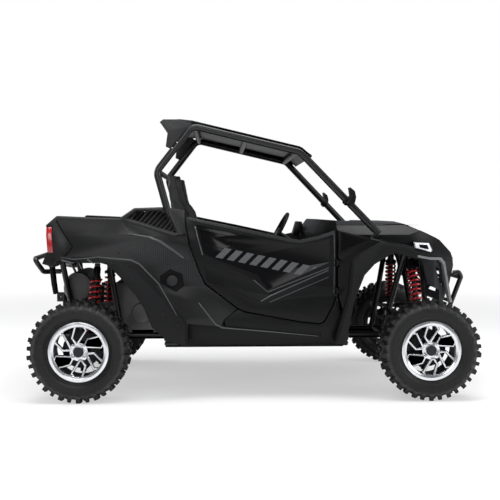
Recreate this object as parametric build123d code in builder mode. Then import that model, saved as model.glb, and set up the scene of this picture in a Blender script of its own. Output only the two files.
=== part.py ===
from build123d import *
from math import atan2, cos, degrees, radians, sin
import os

os.makedirs("parts", exist_ok=True)

# Driving sizes in millimetres. X is forward, Y is the left of the vehicle, Z is up, the ground is Z = 0.
wheelbase = 2290.0
tyre_radius = 330.0
front_half_track = 700.0
rear_half_track = 680.0
front_tyre_width = 228.0
rear_tyre_width = 262.0
lug_height = 17.0
lug_count = 17
tyre_facets = 34
shoulder_width = 34.0
sidewall_radius = 246.0
lug_inset = 5.0
lug_reach = 20.0
lug_spread = 34.0
lug_base = 284.0
rim_radius = 178.0
rim_width = 178.0
rim_flange_radius = 195.0
rim_wall = 8.0
lip_radius = 162.0
spoke_groups = 6
leg_width = 19.0
nut_circle = 52.0
running_gap = 0.3
bead_gap = 0.8
hub_bore_radius = 18.2
spindle_radius = 17.6

front_axle_x = wheelbase / 2
rear_axle_x = -wheelbase / 2
axle_z = tyre_radius

# Body shell
panel_wall = 12.0
body_inner_y = 560.0
flare_y = 775.0
flare_inner_y = 670.0
flare_step = 16.0
flare_border = 9.0
door_thickness = 55.0
hinge_x = 540.0
hinge_y = 704.0
hinge_heights = (712.0, 900.0)
hinge_pin_radius = 5.0
hinge_barrel_radius = 9.0
hinge_barrel_length = 27.0

# Cage
cage_tube_radius = 24.0
cage_foot_y = 618.0
cage_top_y = 585.0
cage_bend = 70.0
sleeve_gap = 0.8

# Running gear
steer_arm_length = 100.0
shock_radius = 45.0
arm_tube_radius = 16.0
frame_tube_radius = 20.0
cross_tube_radius = 17.0
skid_z = 325.0


# Helpers


def side_plane(y):
    # A plane that looks along Y: its x is the vehicle's X and its y is the vehicle's Z
    return Plane.XZ.offset(-y)


def tube_run(start, end, radius):
    # A straight round bar between two points
    axis = Vector(*end) - Vector(*start)
    with BuildPart(mode=Mode.PRIVATE) as bar:
        with BuildSketch(Plane(origin=start, z_dir=axis)):
            Circle(radius)
        extrude(amount=axis.length)
    return bar.part


def bent_tube(points, radius, bend):
    # A round tube along straight runs joined by bends
    with BuildPart(mode=Mode.PRIVATE) as tube:
        with BuildLine() as route:
            FilletPolyline(*points, radius=bend)
        with BuildSketch(Plane(origin=route.line @ 0, z_dir=route.line % 0)):
            Circle(radius)
        sweep()
    return tube.part


def side_prism(points, y_low, y_high):
    # A side view outline, extruded across the vehicle from y_low to y_high
    with BuildPart(mode=Mode.PRIVATE) as prism:
        with BuildSketch(side_plane(y_high)):
            with BuildLine():
                Polyline(*points, close=True)
            make_face()
        extrude(amount=y_high - y_low)
    return prism.part


def plan_prism(points, z_low, z_high):
    # A plan view outline, extruded upwards
    with BuildPart(mode=Mode.PRIVATE) as prism:
        with BuildSketch(Plane.XY.offset(z_low)):
            with BuildLine():
                Polyline(*points, close=True)
            make_face()
        extrude(amount=z_high - z_low)
    return prism.part


def front_prism(points, x_low, x_high):
    # A front view outline (Y, Z), extruded forward
    with BuildPart(mode=Mode.PRIVATE) as prism:
        with BuildSketch(Plane.YZ.offset(x_low)):
            with BuildLine():
                Polyline(*points, close=True)
            make_face()
        extrude(amount=x_high - x_low)
    return prism.part


# The body's outer skin on the left side, as half widths at heights
skin_line = [(636, 338), (684, 400), (704, 540), (690, 745), (698, 905), (704, 1080), (612, 1275)]


def skin_prism(inset):
    # Everything inside the body's skin, less an inset
    outline = [(0, 300)]
    outline += [(half_width - inset, height) for half_width, height in skin_line]
    outline += [(0, 1275)]
    return front_prism(outline, -1500, 1500)


def shell_panel(points, y_low, wall):
    # A body panel: an outline in side view, cut to the skin, open on its inner side
    with BuildPart(mode=Mode.PRIVATE) as inside:
        with BuildSketch(side_plane(800)):
            with BuildLine():
                Polyline(*points, close=True)
            make_face()
            offset(amount=-wall, kind=Kind.INTERSECTION, mode=Mode.REPLACE)
        extrude(amount=800 - y_low)
    with BuildPart(mode=Mode.PRIVATE) as panel:
        add(side_prism(points, y_low, 800))
        add(skin_prism(0), mode=Mode.INTERSECT)
        add(inside.part & skin_prism(wall), mode=Mode.SUBTRACT)
    return panel.part


def beyond(start, end, extra):
    # The point that lies a little past end, on the line from start
    along = (Vector(*end) - Vector(*start)).normalized()
    point = Vector(*end) + along * extra
    return (point.X, point.Y, point.Z)


def at_height(start, end, height):
    # The point of a straight member at a height
    share = (height - start[2]) / (end[2] - start[2])
    return tuple(a + (b - a) * share for a, b in zip(start, end))


def upright(x, y, z_low, z_high, radius):
    # A round upright bar
    return tube_run((x, y, z_low), (x, y, z_high), radius)


# Routes of the cage and of the posts that carry it, on the left side

rail_start = (300, cage_top_y, 1635)
rail_end = (-415, cage_top_y, 1803)
pillar_foot = (815, cage_foot_y, 1100)
back_kink = (-650, 596, 1500)
back_foot = (-552, cage_foot_y, 1150)
hoop_route = [
    beyond(rail_start, pillar_foot, 60), rail_start, rail_end, back_kink, beyond(back_kink, back_foot, 60),
]
rail_z = skid_z + 3 + frame_tube_radius
front_post = [(620, 535, rail_z), (620, 535, 760), beyond((620, 535, 760), pillar_foot, 60)]
rear_post = [(-590, 535, rail_z), (-590, 535, 700), beyond((-590, 535, 700), back_foot, 60)]
post_bend = 60.0
passage = sleeve_gap


# Wheels


def ring(y_low, y_high, radius_low, radius_high):
    # A solid ring of flat faces between two heights along the axle
    depth = y_high - y_low
    with BuildPart(mode=Mode.PRIVATE) as body:
        with BuildSketch(Plane.XZ.offset(-y_low)):
            # A flat lies at the top, where the first lug stands
            RegularPolygon(radius_low, tyre_facets, major_radius=False, rotation=90 + 180 / tyre_facets)
        extrude(amount=-depth, taper=degrees(atan2(radius_low - radius_high, depth)))
    return body.part


def make_tyre(width):
    # The carcass: flat faced rings from the tread over the shoulder down to the bead
    half = width / 2
    bead_y = rim_width / 2 - bead_gap
    tread = tyre_radius - lug_height
    with BuildPart(mode=Mode.PRIVATE) as tyre:
        add(ring(0, half - shoulder_width, tread, tread))
        add(ring(half - shoulder_width, half, tread, sidewall_radius))
        add(ring(bead_y, half, rim_flange_radius, sidewall_radius), mode=Mode.SUBTRACT)
        add(ring(-2, half, rim_radius + bead_gap, rim_radius + bead_gap), mode=Mode.SUBTRACT)
        mirror(about=Plane.XZ)
    return tyre.part


def lug(angle, start_y, end_y, spread, base):
    # One tread block, from start_y to end_y across the tyre
    slant = 7
    corners = [
        (-spread / 2, start_y), (spread / 2, start_y), (spread / 2 + slant, end_y), (-spread / 2 + slant, end_y),
    ]
    if start_y > end_y:
        corners.reverse()
    with BuildPart(mode=Mode.PRIVATE) as block:
        with BuildSketch(Plane.XY.offset(base)):
            with BuildLine():
                Polyline(*corners, close=True)
            make_face()
        extrude(amount=tyre_radius - base, taper=6)
    return block.part.rotate(Axis.Y, angle)


def make_wheel_tyre(width):
    half = width / 2
    pitch = 360 / lug_count
    blocks = []
    for k in range(lug_count):
        # The blocks of the two sides reach past the middle between each other, like fingers
        blocks.append(lug(k * pitch, half - lug_inset, -lug_reach, lug_spread, lug_base))
        blocks.append(lug((k + 0.5) * pitch, -half + lug_inset, lug_reach, lug_spread, lug_base))
    with BuildPart(mode=Mode.PRIVATE) as tyre:
        add(make_tyre(width))
        add(blocks)
    return tyre.part


def polar(radius, angle):
    # A point of the rim's face. The pattern is that of a wheel seen from its outer side.
    return (-radius * cos(radians(angle)), radius * sin(radians(angle)))


def leg_outline(route, width):
    # The outline of a bent spoke leg of constant width along three points
    points = [Vector(*polar(*step)) for step in route]
    first = (points[1] - points[0]).normalized()
    second = (points[2] - points[1]).normalized()
    middle = (first + second).normalized()
    sides = []
    for point, along in zip(points, (first, middle, second)):
        across = Vector(-along.Y, along.X) * (width / 2)
        sides.append((point + across, point - across))
    return [tuple(left)[:2] for left, right in sides] + [tuple(right)[:2] for left, right in reversed(sides)]


def make_rim():
    # A barrel with a deep outer lip, six groups of two bent legs, a hub with four bosses. Its outer face is +Y.
    half = rim_width / 2
    flange = 8.0
    face_y = 84.0
    with BuildPart(mode=Mode.PRIVATE) as rim:
        with BuildSketch(Plane.YZ):
            with BuildLine():
                Polyline(
                    (-half - flange, rim_radius - rim_wall),
                    (-half - flange, rim_flange_radius),
                    (-half, rim_flange_radius),
                    (-half, rim_radius),
                    (half, rim_radius),
                    (half, rim_flange_radius),
                    (half + flange, rim_flange_radius),
                    (half + flange, rim_radius - 2),
                    (half, lip_radius),
                    (half - 34, lip_radius),
                    (half - 44, rim_radius - rim_wall),
                    close=True,
                )
            make_face()
        revolve(axis=Axis.Y)
        for k in range(spoke_groups):
            centre = 28 + 60 * k
            for route in (
                [(52, centre + 19), (100, centre + 27), (lip_radius + 6, centre + 9)],
                [(52, centre + 12), (148, centre - 17), (lip_radius + 6, centre - 9)],
            ):
                with BuildSketch(side_plane(face_y - 8)):
                    with BuildLine():
                        Polyline(*leg_outline(route, leg_width), close=True)
                    make_face()
                extrude(amount=16)
                with BuildSketch(side_plane(face_y - 8)):
                    with BuildLine():
                        Polyline(*leg_outline(route, leg_width), close=True)
                    make_face()
                extrude(amount=-8, taper=32)
        with BuildSketch(side_plane(face_y - 4)):
            Circle(58)
        extrude(amount=face_y - 4 + 26)
        with BuildSketch(side_plane(face_y)):
            for angle in (45, 135, 225, 315):
                with Locations(polar(nut_circle, angle)):
                    Circle(14)
        extrude(amount=12)
        with BuildSketch(side_plane(face_y + 6)):
            Circle(35)
        extrude(amount=20)
        with BuildSketch(side_plane(-20)):
            Circle(122)
        extrude(amount=6)
        with BuildSketch(side_plane(40)):
            Circle(hub_bore_radius)
        extrude(amount=100, mode=Mode.SUBTRACT)
    return rim.part


rim_part = make_rim()
front_tyre_part = make_wheel_tyre(front_tyre_width)
rear_tyre_part = make_wheel_tyre(rear_tyre_width)

axles = {"front": (front_axle_x, front_half_track), "rear": (rear_axle_x, rear_half_track)}
for axle, (axle_x, half_track) in axles.items():
    for side, sign in (("left", 1), ("right", -1)):
        tyre_part = front_tyre_part if axle == "front" else rear_tyre_part
        for piece_name, piece in (("tyre", tyre_part), ("rim", rim_part)):
            with BuildPart() as wheel_piece:
                # The tyres are handed, and the four rims are one casting turned round
                if sign < 0 and piece_name == "tyre":
                    piece = piece.mirror(Plane.XZ)
                elif sign < 0:
                    piece = piece.rotate(Axis.Z, 180)
                with Locations((axle_x, sign * half_track, axle_z)):
                    add(piece)
            wheel_piece.part.label = f"{piece_name}_{axle}_{side}"
            export_step(wheel_piece.part, f"parts/{piece_name}_{axle}_{side}.step")


# Doors

door_outline = [
    (-452, 1201), (-426, 1188), (-100, 1129), (213, 1059), (292, 1049), (410, 1075), (528, 1115),
    (532, 904), (532, 693), (510, 621), (451, 515), (425, 502), (293, 516), (-68, 584), (-114, 604),
    (-323, 763), (-362, 842), (-427, 1018), (-452, 1149),
]
door_inset = [
    (-387, 1150), (200, 1027), (292, 1019), (489, 1056), (490, 904), (82, 722), (16, 821),
    (-218, 907), (-336, 959), (-361, 1051),
]

handle_pocket = [(-362, 1120), (-197, 1082), (-161, 1049), (-165, 1017), (-197, 990), (-335, 1024), (-358, 1070)]
door_fold = [(-330, 892), (-12, 784), (82, 702), (482, 862), (484, 848), (99, 680), (30, 646), (-318, 790)]
fold_depth = 3.0
inset_depth = 5.0
handle_depth = 20.0

strap_thickness = 8.0
strap_gap = 0.3
strap_low = hinge_barrel_length / 2 + strap_gap
strap_high = strap_low + strap_thickness

with BuildPart() as door_left:
    add(side_prism(door_outline, 600, 800))
    add(skin_prism(0), mode=Mode.INTERSECT)
    add(skin_prism(door_thickness), mode=Mode.SUBTRACT)
    add(side_prism(door_inset, 600, 800) - skin_prism(inset_depth), mode=Mode.SUBTRACT)
    add(side_prism(handle_pocket, 600, 800) - skin_prism(handle_depth), mode=Mode.SUBTRACT)
    add(side_prism(door_fold, 600, 800) - skin_prism(fold_depth), mode=Mode.SUBTRACT)
    for z in hinge_heights:
        # Each hinge: a notch in the door's edge, two straps, and the pin between them
        add(upright(hinge_x, hinge_y, z - strap_high - 3, z + strap_high + 3, hinge_barrel_radius + 6), mode=Mode.SUBTRACT)
        for low in (z - strap_high, z + strap_low):
            with Locations((hinge_x - 11, hinge_y - 7, low + strap_thickness / 2)):
                Box(30, 28, strap_thickness)
        add(upright(hinge_x, hinge_y, z - strap_high, z + strap_high, hinge_pin_radius))
door_left.part.label = "door_left"
export_step(door_left.part, "parts/door_left.step")

with BuildPart() as door_right:
    mirror(door_left.part, about=Plane.XZ)
door_right.part.label = "door_right"
export_step(door_right.part, "parts/door_right.step")


# Rear quarter panels: skin, intake grille, fuel pocket on the right, arch flare

rear_arch = [
    (-570, 395), (-674, 488), (-724, 612), (-782, 703), (-878, 814), (-954, 892), (-1005, 907),
    (-1134, 912), (-1262, 906), (-1313, 873),
]
quarter_outline = [
    (-466, 1246), (-460, 1149), (-435, 1018), (-370, 840), (-331, 758), (-120, 598), (-205, 530),
    (-225, 478), (-440, 500), (-445, 380), *rear_arch,
    (-1387, 897), (-1353, 983), (-1364, 1148), (-1301, 1208), (-896, 1190), (-797, 1260), (-619, 1266),
]
rear_flare = [
    (-445, 360), (-447, 499), (-492, 558), (-633, 715), (-781, 872), (-890, 911), (-1056, 944),
    (-1178, 944), (-1290, 922), *reversed(rear_arch),
]

taillight_outline = [(-1361, 1135), (-1325, 1135), (-1314, 970), (-1351, 970)]
taillight_pocket = [(-1400, 1135.3), (-1324.7, 1135.3), (-1313.7, 969.7), (-1400, 969.7)]
fuel_outline = [(-557, 862), (-479, 829), (-467, 750), (-519, 711), (-623, 770), (-623, 816)]

intake_outline = [(-786, 1244), (-628, 1248), (-564, 1212), (-500, 1082), (-850, 1188)]
shoulder_step = [
    (-870, 1178), (-486, 1062), (-452, 1090), (-430, 1010), (-418, 905), (-510, 966), (-616, 1037), (-686, 1069),
    (-820, 1092),
]
corner_seam = [(-1298, 1178), (-1184, 1008), (-1234, 944), (-1239, 947), (-1190, 1008), (-1303, 1176)]
step_depth = 6.0
seam_depth = 7.0
intake_depth = 6.0
rib_pitch = 34.0
slot_width = 15.0


def grille_slots(outline, pitch, width, lean):
    # Slanted slots that fill an outline, less a frame round them
    with BuildSketch(side_plane(800), mode=Mode.PRIVATE) as bars:
        with Locations((-680, 1165)):
            with GridLocations(pitch, 1, 13, 1):
                Rectangle(width, 400, rotation=lean)
    with BuildPart(mode=Mode.PRIVATE) as slots:
        with BuildSketch(side_plane(800)):
            with BuildLine():
                Polyline(*outline, close=True)
            make_face()
            offset(amount=-9, kind=Kind.INTERSECTION, mode=Mode.REPLACE)
        extrude(amount=240)
    with BuildPart(mode=Mode.PRIVATE) as strips:
        extrude(bars.sketch, amount=240)
    return slots.part & strips.part


def flare(outline):
    # An arch flare: a broad ring with a narrower one outside it
    with BuildPart(mode=Mode.PRIVATE) as body:
        add(side_prism(outline, flare_inner_y, flare_y - flare_step))
        with BuildSketch(side_plane(flare_y)):
            with BuildLine():
                Polyline(*outline, close=True)
            make_face()
            offset(amount=-flare_border, kind=Kind.INTERSECTION, mode=Mode.REPLACE)
        extrude(amount=flare_step + 1)
    return body.part


with BuildPart() as rear_quarters:
    add(shell_panel(quarter_outline, body_inner_y, panel_wall))
    add(side_prism(shoulder_step, 600, 800) - skin_prism(step_depth), mode=Mode.SUBTRACT)
    add(side_prism(intake_outline, 580, 800) - skin_prism(intake_depth), mode=Mode.SUBTRACT)
    add(grille_slots(intake_outline, rib_pitch, slot_width, -40), mode=Mode.SUBTRACT)
    add(side_prism(corner_seam, 600, 800) - skin_prism(seam_depth), mode=Mode.SUBTRACT)
    add(flare(rear_flare))
    add(bent_tube(hoop_route, cage_tube_radius + passage, cage_bend), mode=Mode.SUBTRACT)
    add(side_prism(taillight_pocket, 580 - running_gap, 800), mode=Mode.SUBTRACT)
    mirror(about=Plane.XZ)
    fuel_recess = side_prism(fuel_outline, -800, -600) - skin_prism(6).mirror(Plane.XZ)
    add(fuel_recess, mode=Mode.SUBTRACT)
rear_quarters.part.label = "rear_quarters"
export_step(rear_quarters.part, "parts/rear_quarters.step")


# Rockers

rocker_outline = [
    (-204, 529), (-114, 595), (-68, 575), (293, 507), (425, 493), (456, 508), (518, 618), (536, 680),
    (540, 640), (608, 463), (588, 365), (494, 346), (-331, 351), (-522, 339), (-444, 379), (-439, 499),
    (-224, 477),
]
slot_outline = [(-213, 500), (-193, 520), (432, 436), (432, 409), (-193, 480)]

front_arch = [(588, 365), (608, 463), (646, 660), (711, 823), (776, 894), (900, 968), (1057, 926)]
fender_outline = [
    (545, 1115), (545, 700), (609, 470), (646, 660), (711, 823), (776, 894), (900, 968), (1057, 926),
    (1213, 936), (1040, 985), (1027, 1009), (848, 1049), (749, 1062),
]
front_flare = [
    (520, 382), (610, 714), (629, 909), (687, 961), (823, 1038), (1027, 1009), (1040, 985), (1213, 936),
    *reversed(front_arch),
]

with BuildPart() as rockers:
    add(shell_panel(rocker_outline, body_inner_y, panel_wall))
    add(side_prism(slot_outline, 600, 800) - skin_prism(8), mode=Mode.SUBTRACT)
    add(side_prism(front_flare, flare_inner_y - running_gap, 800), mode=Mode.SUBTRACT)
    mirror(about=Plane.XZ)
rockers.part.label = "rockers"
export_step(rockers.part, "parts/rockers.step")


# Front fenders

fender_window = [(560, 1097), (738, 1050), (560, 972)]

with BuildPart() as front_fenders:
    add(shell_panel(fender_outline, body_inner_y, panel_wall))
    add(flare(front_flare))
    add(side_prism(fender_window, 600, 800) - skin_prism(inset_depth), mode=Mode.SUBTRACT)
    add(bent_tube(front_post, frame_tube_radius + passage, post_bend), mode=Mode.SUBTRACT)
    for z in hinge_heights:
        # The barrel that carries the door's pin, on a leaf from the fender's edge
        add(upright(hinge_x, hinge_y, z - strap_high - 5, z + strap_high + 5, 20), mode=Mode.SUBTRACT)
        with Locations((hinge_x + 13, hinge_y - 7, z)):
            Box(20, 14, hinge_barrel_length)
        add(upright(hinge_x, hinge_y, z - hinge_barrel_length / 2, z + hinge_barrel_length / 2, hinge_barrel_radius))
        bore_radius = hinge_pin_radius + running_gap
        add(upright(hinge_x, hinge_y, z - strap_low, z + strap_low, bore_radius), mode=Mode.SUBTRACT)
    mirror(about=Plane.XZ)
front_fenders.part.label = "front_fenders"
export_step(front_fenders.part, "parts/front_fenders.step")


# Hood: side view, plan view and a crowned section

hood_corner_x = 1045
hood_side = [(560, 1176), (990, 1169), (1170, 1099), (1290, 1046), (1404, 957), (1434, 897), (1060, 930), (560, 1100)]
hood_plan = [
    (560, -559.4), (hood_corner_x, -559.4), (1250, -470), (1434, -250), (1434, 250), (1250, 470), (hood_corner_x, 559.4),
    (560, 559.4),
]
hood_section = [(-560, 900), (-560, 1085), (-470, 1150), (-250, 1176), (250, 1176), (470, 1150), (560, 1085), (560, 900)]

hood_middle = [
    (770, -478), (hood_corner_x, -466), (1236, -392), (1400, -205), (1400, 205), (1236, 392), (hood_corner_x, 466),
    (770, 478),
]
hood_hollow = [
    (575, -545), (hood_corner_x, -545), (1120, -448), (1240, -415), (1405, -215), (1405, 215), (1240, 415),
    (1120, 448), (hood_corner_x, 545), (575, 545),
]
hood_step = 6.0
hood_wall = 14.0


def lowered(points, drop):
    return [(along, height - drop) for along, height in points]


def hood_form(drop):
    # The crowned outer form of the hood, lowered by drop
    with BuildPart(mode=Mode.PRIVATE) as form:
        add(side_prism(lowered(hood_side[:5], drop) + hood_side[5:], -560, 560))
        add(plan_prism(hood_plan, 850, 1200), mode=Mode.INTERSECT)
        add(front_prism(lowered(hood_section, drop), 500, 1500), mode=Mode.INTERSECT)
    return form.part


hood_under = [(1450, 820), (1060, 800), (500, 900)]
with BuildPart() as hood:
    add(hood_form(hood_step))
    add(hood_form(0) & plan_prism(hood_middle, 850, 1200))
    hollow = side_prism(lowered(hood_side[:5], hood_wall) + hood_under, -560, 560)
    hollow &= front_prism(lowered(hood_section, hood_wall), 500, 1500)
    add(hollow & plan_prism(hood_hollow, 700, 1200), mode=Mode.SUBTRACT)
hood.part.label = "hood"
export_step(hood.part, "parts/hood.step")


# Front fascia: nose below the hood with a slotted grille, and the shroud at each side

fascia_side = [
    (1140, 922), (1434, 896), (1440, 850), (1400, 720), (1335, 600), (1300, 600), (1295, 690), (1200, 735),
    (1168, 867),
]
fascia_plan = [(1090, -470), (1250, -440), (1440, -230), (1440, 230), (1250, 440), (1090, 470)]
fascia_inside = [(1080, -452), (1240, -420), (1422, -218), (1422, 218), (1240, 420), (1080, 452)]
fascia_hollow = [(1090, 960), (1422, 960), (1422, 850), (1380, 715), (1310, 560), (1090, 560)]

nose_window = [(1262, 858), (1296, 836), (1318, 760), (1342, 700), (1300, 742)]

with BuildPart() as fascia:
    add(side_prism(fascia_side, -470, 470))
    add(plan_prism(fascia_plan, 550, 950), mode=Mode.INTERSECT)
    add(side_prism(fascia_hollow, -460, 460) & plan_prism(fascia_inside, 500, 1000), mode=Mode.SUBTRACT)
    add(side_prism(nose_window, -480, 480), mode=Mode.SUBTRACT)
    for z in (660, 700, 740, 780, 820):
        with Locations((1400, 0, z)):
            Box(200, 300, 22, mode=Mode.SUBTRACT)
fascia.part.label = "fascia"
export_step(fascia.part, "parts/fascia.step")

with BuildPart() as headlights:
    lamp_outline = [(1064, 1035), (1175, 1030), (1207, 975), (1190, 962), (1073, 992)]
    lamp_plan = [(hood_corner_x + 15, 553.3), (1210, 487.9), (1210, 556), (1150, 600), (hood_corner_x + 15, 600)]
    add(side_prism(lamp_outline, 480, 600))
    add(plan_prism(lamp_plan, 900, 1100), mode=Mode.INTERSECT)
    mirror(about=Plane.XZ)
headlights.part.label = "headlights"
export_step(headlights.part, "parts/headlights.step")


# Roof and cage

cross_reach = cage_top_y - cage_tube_radius - running_gap
rail_slope = atan2(rail_end[2] - rail_start[2], rail_start[0] - rail_end[0])
roof_lift = (cage_tube_radius + running_gap) / cos(rail_slope)

roof_slab = 10.0
roof_top_z = rail_end[2] + roof_lift + roof_slab
roof_front_z = rail_start[2] + roof_lift + roof_slab
roof_side = [
    (-628, 1825), (-605, 1844), (-495, 1846), (rail_end[0], roof_top_z), (rail_start[0], roof_front_z),
    (380, 1611), (380, 1598), (312, roof_front_z - roof_slab), (rail_end[0], roof_top_z - roof_slab), (-575, 1800),
]

fairing_outline = [
    (-628, 1825), (-605, 1844), (-495, 1838), (-400, 1800), (-449, 1750), (-556, 1650), (-589, 1666), (-575, 1765),
]
fairing_inner_y = cross_reach + 9
rib_height = 7.0
roof_rib = [(rail_end[0], roof_top_z), (270, roof_front_z + 7)]
with BuildPart() as roof:
    add(side_prism(roof_side, -600, 600))
    for y in (-430, -215, 0, 215, 430):
        # Each rib follows the roof's top
        rib = roof_rib + [(along, height + rib_height) for along, height in reversed(roof_rib)]
        add(side_prism(rib, y - 32, y + 32))
    for low, high in ((fairing_inner_y, 606), (-606, -fairing_inner_y)):
        add(side_prism(fairing_outline, low, high))
    add(bent_tube(hoop_route, cage_tube_radius + passage, cage_bend), mode=Mode.SUBTRACT)
    add(bent_tube(hoop_route, cage_tube_radius + passage, cage_bend).mirror(Plane.XZ), mode=Mode.SUBTRACT)
roof.part.label = "roof"
export_step(roof.part, "parts/roof.step")


with BuildPart() as cage_left:
    add(bent_tube(hoop_route, cage_tube_radius, cage_bend))
    front_cut = plan_prism([(500, 0), (1000, 0), (1000, 900), (500, 900)], 900, pillar_foot[2])
    back_cut = plan_prism([(-800, 0), (-300, 0), (-300, 900), (-800, 900)], 900, back_foot[2])
    add([front_cut, back_cut], mode=Mode.SUBTRACT)
cage_left.part.label = "cage_left"
export_step(cage_left.part, "parts/cage_left.step")

with BuildPart() as cage_right:
    mirror(cage_left.part, about=Plane.XZ)
cage_right.part.label = "cage_right"
export_step(cage_right.part, "parts/cage_right.step")

cross_radius = 19.0
back_reach = back_kink[1] - cage_tube_radius - 1.2
with BuildPart() as cage_cross:
    for x, z in ((285, 1634), (-400, 1795), (-60, 1719.6)):
        add(tube_run((x, -cross_reach, z), (x, cross_reach, z), cross_radius))
    add(tube_run((-640, -back_reach, 1500), (-640, back_reach, 1500), cross_radius))
cage_cross.part.label = "cage_cross"
export_step(cage_cross.part, "parts/cage_cross.step")

mirror_outline = [(613, 1396), (645, 1370), (654, 1331), (645, 1290), (620, 1272), (600, 1290), (622, 1340)]
with BuildPart() as mirrors:
    add(side_prism(mirror_outline, 640, 750))
    clamp_point = at_height(rail_start, pillar_foot, 1308)
    clamp_low = at_height(rail_start, pillar_foot, 1296)
    clamp_high = at_height(rail_start, pillar_foot, 1320)
    clamp_bore = cage_tube_radius + sleeve_gap
    add(tube_run(clamp_low, clamp_high, clamp_bore + 7))
    add(tube_run(clamp_point, (clamp_point[0] + 6, 660, clamp_point[2]), 9))
    add(tube_run(beyond(clamp_high, clamp_low, 30), beyond(clamp_low, clamp_high, 30), clamp_bore), mode=Mode.SUBTRACT)
    mirror(about=Plane.XZ)
mirrors.part.label = "mirrors"
export_step(mirrors.part, "parts/mirrors.step")


# Frame under the body

with BuildPart() as cage_posts:
    for points in (front_post, rear_post):
        add(bent_tube(points, frame_tube_radius, post_bend))
    front_cut = plan_prism([(500, 0), (1000, 0), (1000, 900), (500, 900)], pillar_foot[2], 1300)
    back_cut = plan_prism([(-800, 0), (-300, 0), (-300, 900), (-800, 900)], back_foot[2], 1300)
    foot_cut = plan_prism([(-800, 0), (800, 0), (800, 900), (-800, 900)], 300, rail_z + frame_tube_radius)
    add([front_cut, back_cut, foot_cut], mode=Mode.SUBTRACT)
    mirror(about=Plane.XZ)
cage_posts.part.label = "cage_posts"
export_step(cage_posts.part, "parts/cage_posts.step")

shock_tube_z = 950.0
bed_tube_z = 900.0
tail_stay_foot = (rear_axle_x - 95, 205, rail_z)
tail_stay_head = (rear_axle_x - 180, 345, bed_tube_z)
frame_nose_x = front_axle_x + 205
tail_tube_x = rear_axle_x - 167
post_foot_z = rail_z + cross_tube_radius + 2 * running_gap
below_posts = plan_prism([(-1600, -400), (1600, -400), (1600, 400), (-1600, 400)], 300, post_foot_z)
hitch_plate_x = rear_axle_x - 204
hitch_plate_wall = 12.0
rail_back_x = hitch_plate_x + hitch_plate_wall / 2 + running_gap

with BuildPart() as frame:
    for sign in (1, -1):
        add(tube_run((rail_back_x, sign * 150, rail_z), (frame_nose_x, sign * 150, rail_z), frame_tube_radius))
        add(tube_run((-600, sign * 535, rail_z), (632, sign * 535, rail_z), frame_tube_radius))
    for x in (-590, 0, 620):
        add(tube_run((x, -550, rail_z), (x, 550, rail_z), cross_tube_radius))
    for x in (rear_axle_x - 95, rear_axle_x + 215, front_axle_x - 215, front_axle_x + 115):
        add(tube_run((x, -222, rail_z), (x, 222, rail_z), cross_tube_radius))
    for x in (rear_axle_x - 177, front_axle_x + 183):
        add(tube_run((x, -145, rail_z), (x, 145, rail_z), cross_tube_radius))
frame.part.label = "frame"
export_step(frame.part, "parts/frame.step")

with BuildPart() as front_tower:
    # Two posts a side stand on the frame's cross tubes and carry the shocks' tube
    for foot_x, head_x in ((front_axle_x - 215, front_axle_x - 85), (front_axle_x + 115, front_axle_x + 35)):
        add(tube_run((foot_x, 205, rail_z), (head_x, 345, shock_tube_z), frame_tube_radius))
    add(tube_run((front_axle_x - 115, 345, shock_tube_z), (front_axle_x + 60, 345, shock_tube_z), frame_tube_radius))
    mirror(about=Plane.XZ)
    add(tube_run((front_axle_x + 23, -340, shock_tube_z), (front_axle_x + 23, 340, shock_tube_z), cross_tube_radius))
    add(below_posts, mode=Mode.SUBTRACT)
front_tower.part.label = "front_tower"
export_step(front_tower.part, "parts/front_tower.step")

with BuildPart() as rear_tower:
    # The same at the back, with the tubes that carry the bed
    add(tube_run((rear_axle_x + 215, 205, rail_z), (rear_axle_x + 145, 345, bed_tube_z), frame_tube_radius))
    add(tube_run(tail_stay_foot, tail_stay_head, frame_tube_radius))
    add(tube_run((-580, 500, bed_tube_z), (rear_axle_x + 135, 342, bed_tube_z), frame_tube_radius))
    add(tube_run((rear_axle_x + 165, 345, bed_tube_z), (rear_axle_x - 195, 345, bed_tube_z), frame_tube_radius))
    mirror(about=Plane.XZ)
    add(tube_run((tail_tube_x, -340, bed_tube_z), (tail_tube_x, 340, bed_tube_z), cross_tube_radius))
    add(tube_run((-600, -510, bed_tube_z), (-600, 510, bed_tube_z), cross_tube_radius))
    add(below_posts, mode=Mode.SUBTRACT)
rear_tower.part.label = "rear_tower"
export_step(rear_tower.part, "parts/rear_tower.step")

hitch_z = 612.0
hitch_x = hitch_plate_x - 39
with BuildPart() as hitch_receiver:
    # A plate across the rails' ends with a square socket and its pin's bore
    with Locations((hitch_plate_x, 0, (rail_z + 650) / 2)):
        Box(hitch_plate_wall, 340, 650 - rail_z)
    with Locations((hitch_x, 0, hitch_z)):
        Box(70, 64, 64)
        Box(90, 52, 52, mode=Mode.SUBTRACT)
    with Locations(Plane(origin=(hitch_x - 14, 40, hitch_z), z_dir=(0, 1, 0))):
        Hole(8, depth=80)
hitch_receiver.part.label = "hitch_receiver"
export_step(hitch_receiver.part, "parts/hitch_receiver.step")

skid_outline = [
    (rear_axle_x - 195, -175), (-600, -175), (-600, -555), (600, -555), (640, -175), (front_axle_x + 200, -175),
    (front_axle_x + 200, 175), (640, 175), (600, 555), (-600, 555), (-600, 175), (rear_axle_x - 195, 175),
]
with BuildPart() as skid_plate:
    add(plan_prism(skid_outline, skid_z, skid_z + 3))
skid_plate.part.label = "skid_plate"
export_step(skid_plate.part, "parts/skid_plate.step")


# Cabin tub: floor, toe board and firewall, seat pedestal, wall behind the seats

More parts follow.
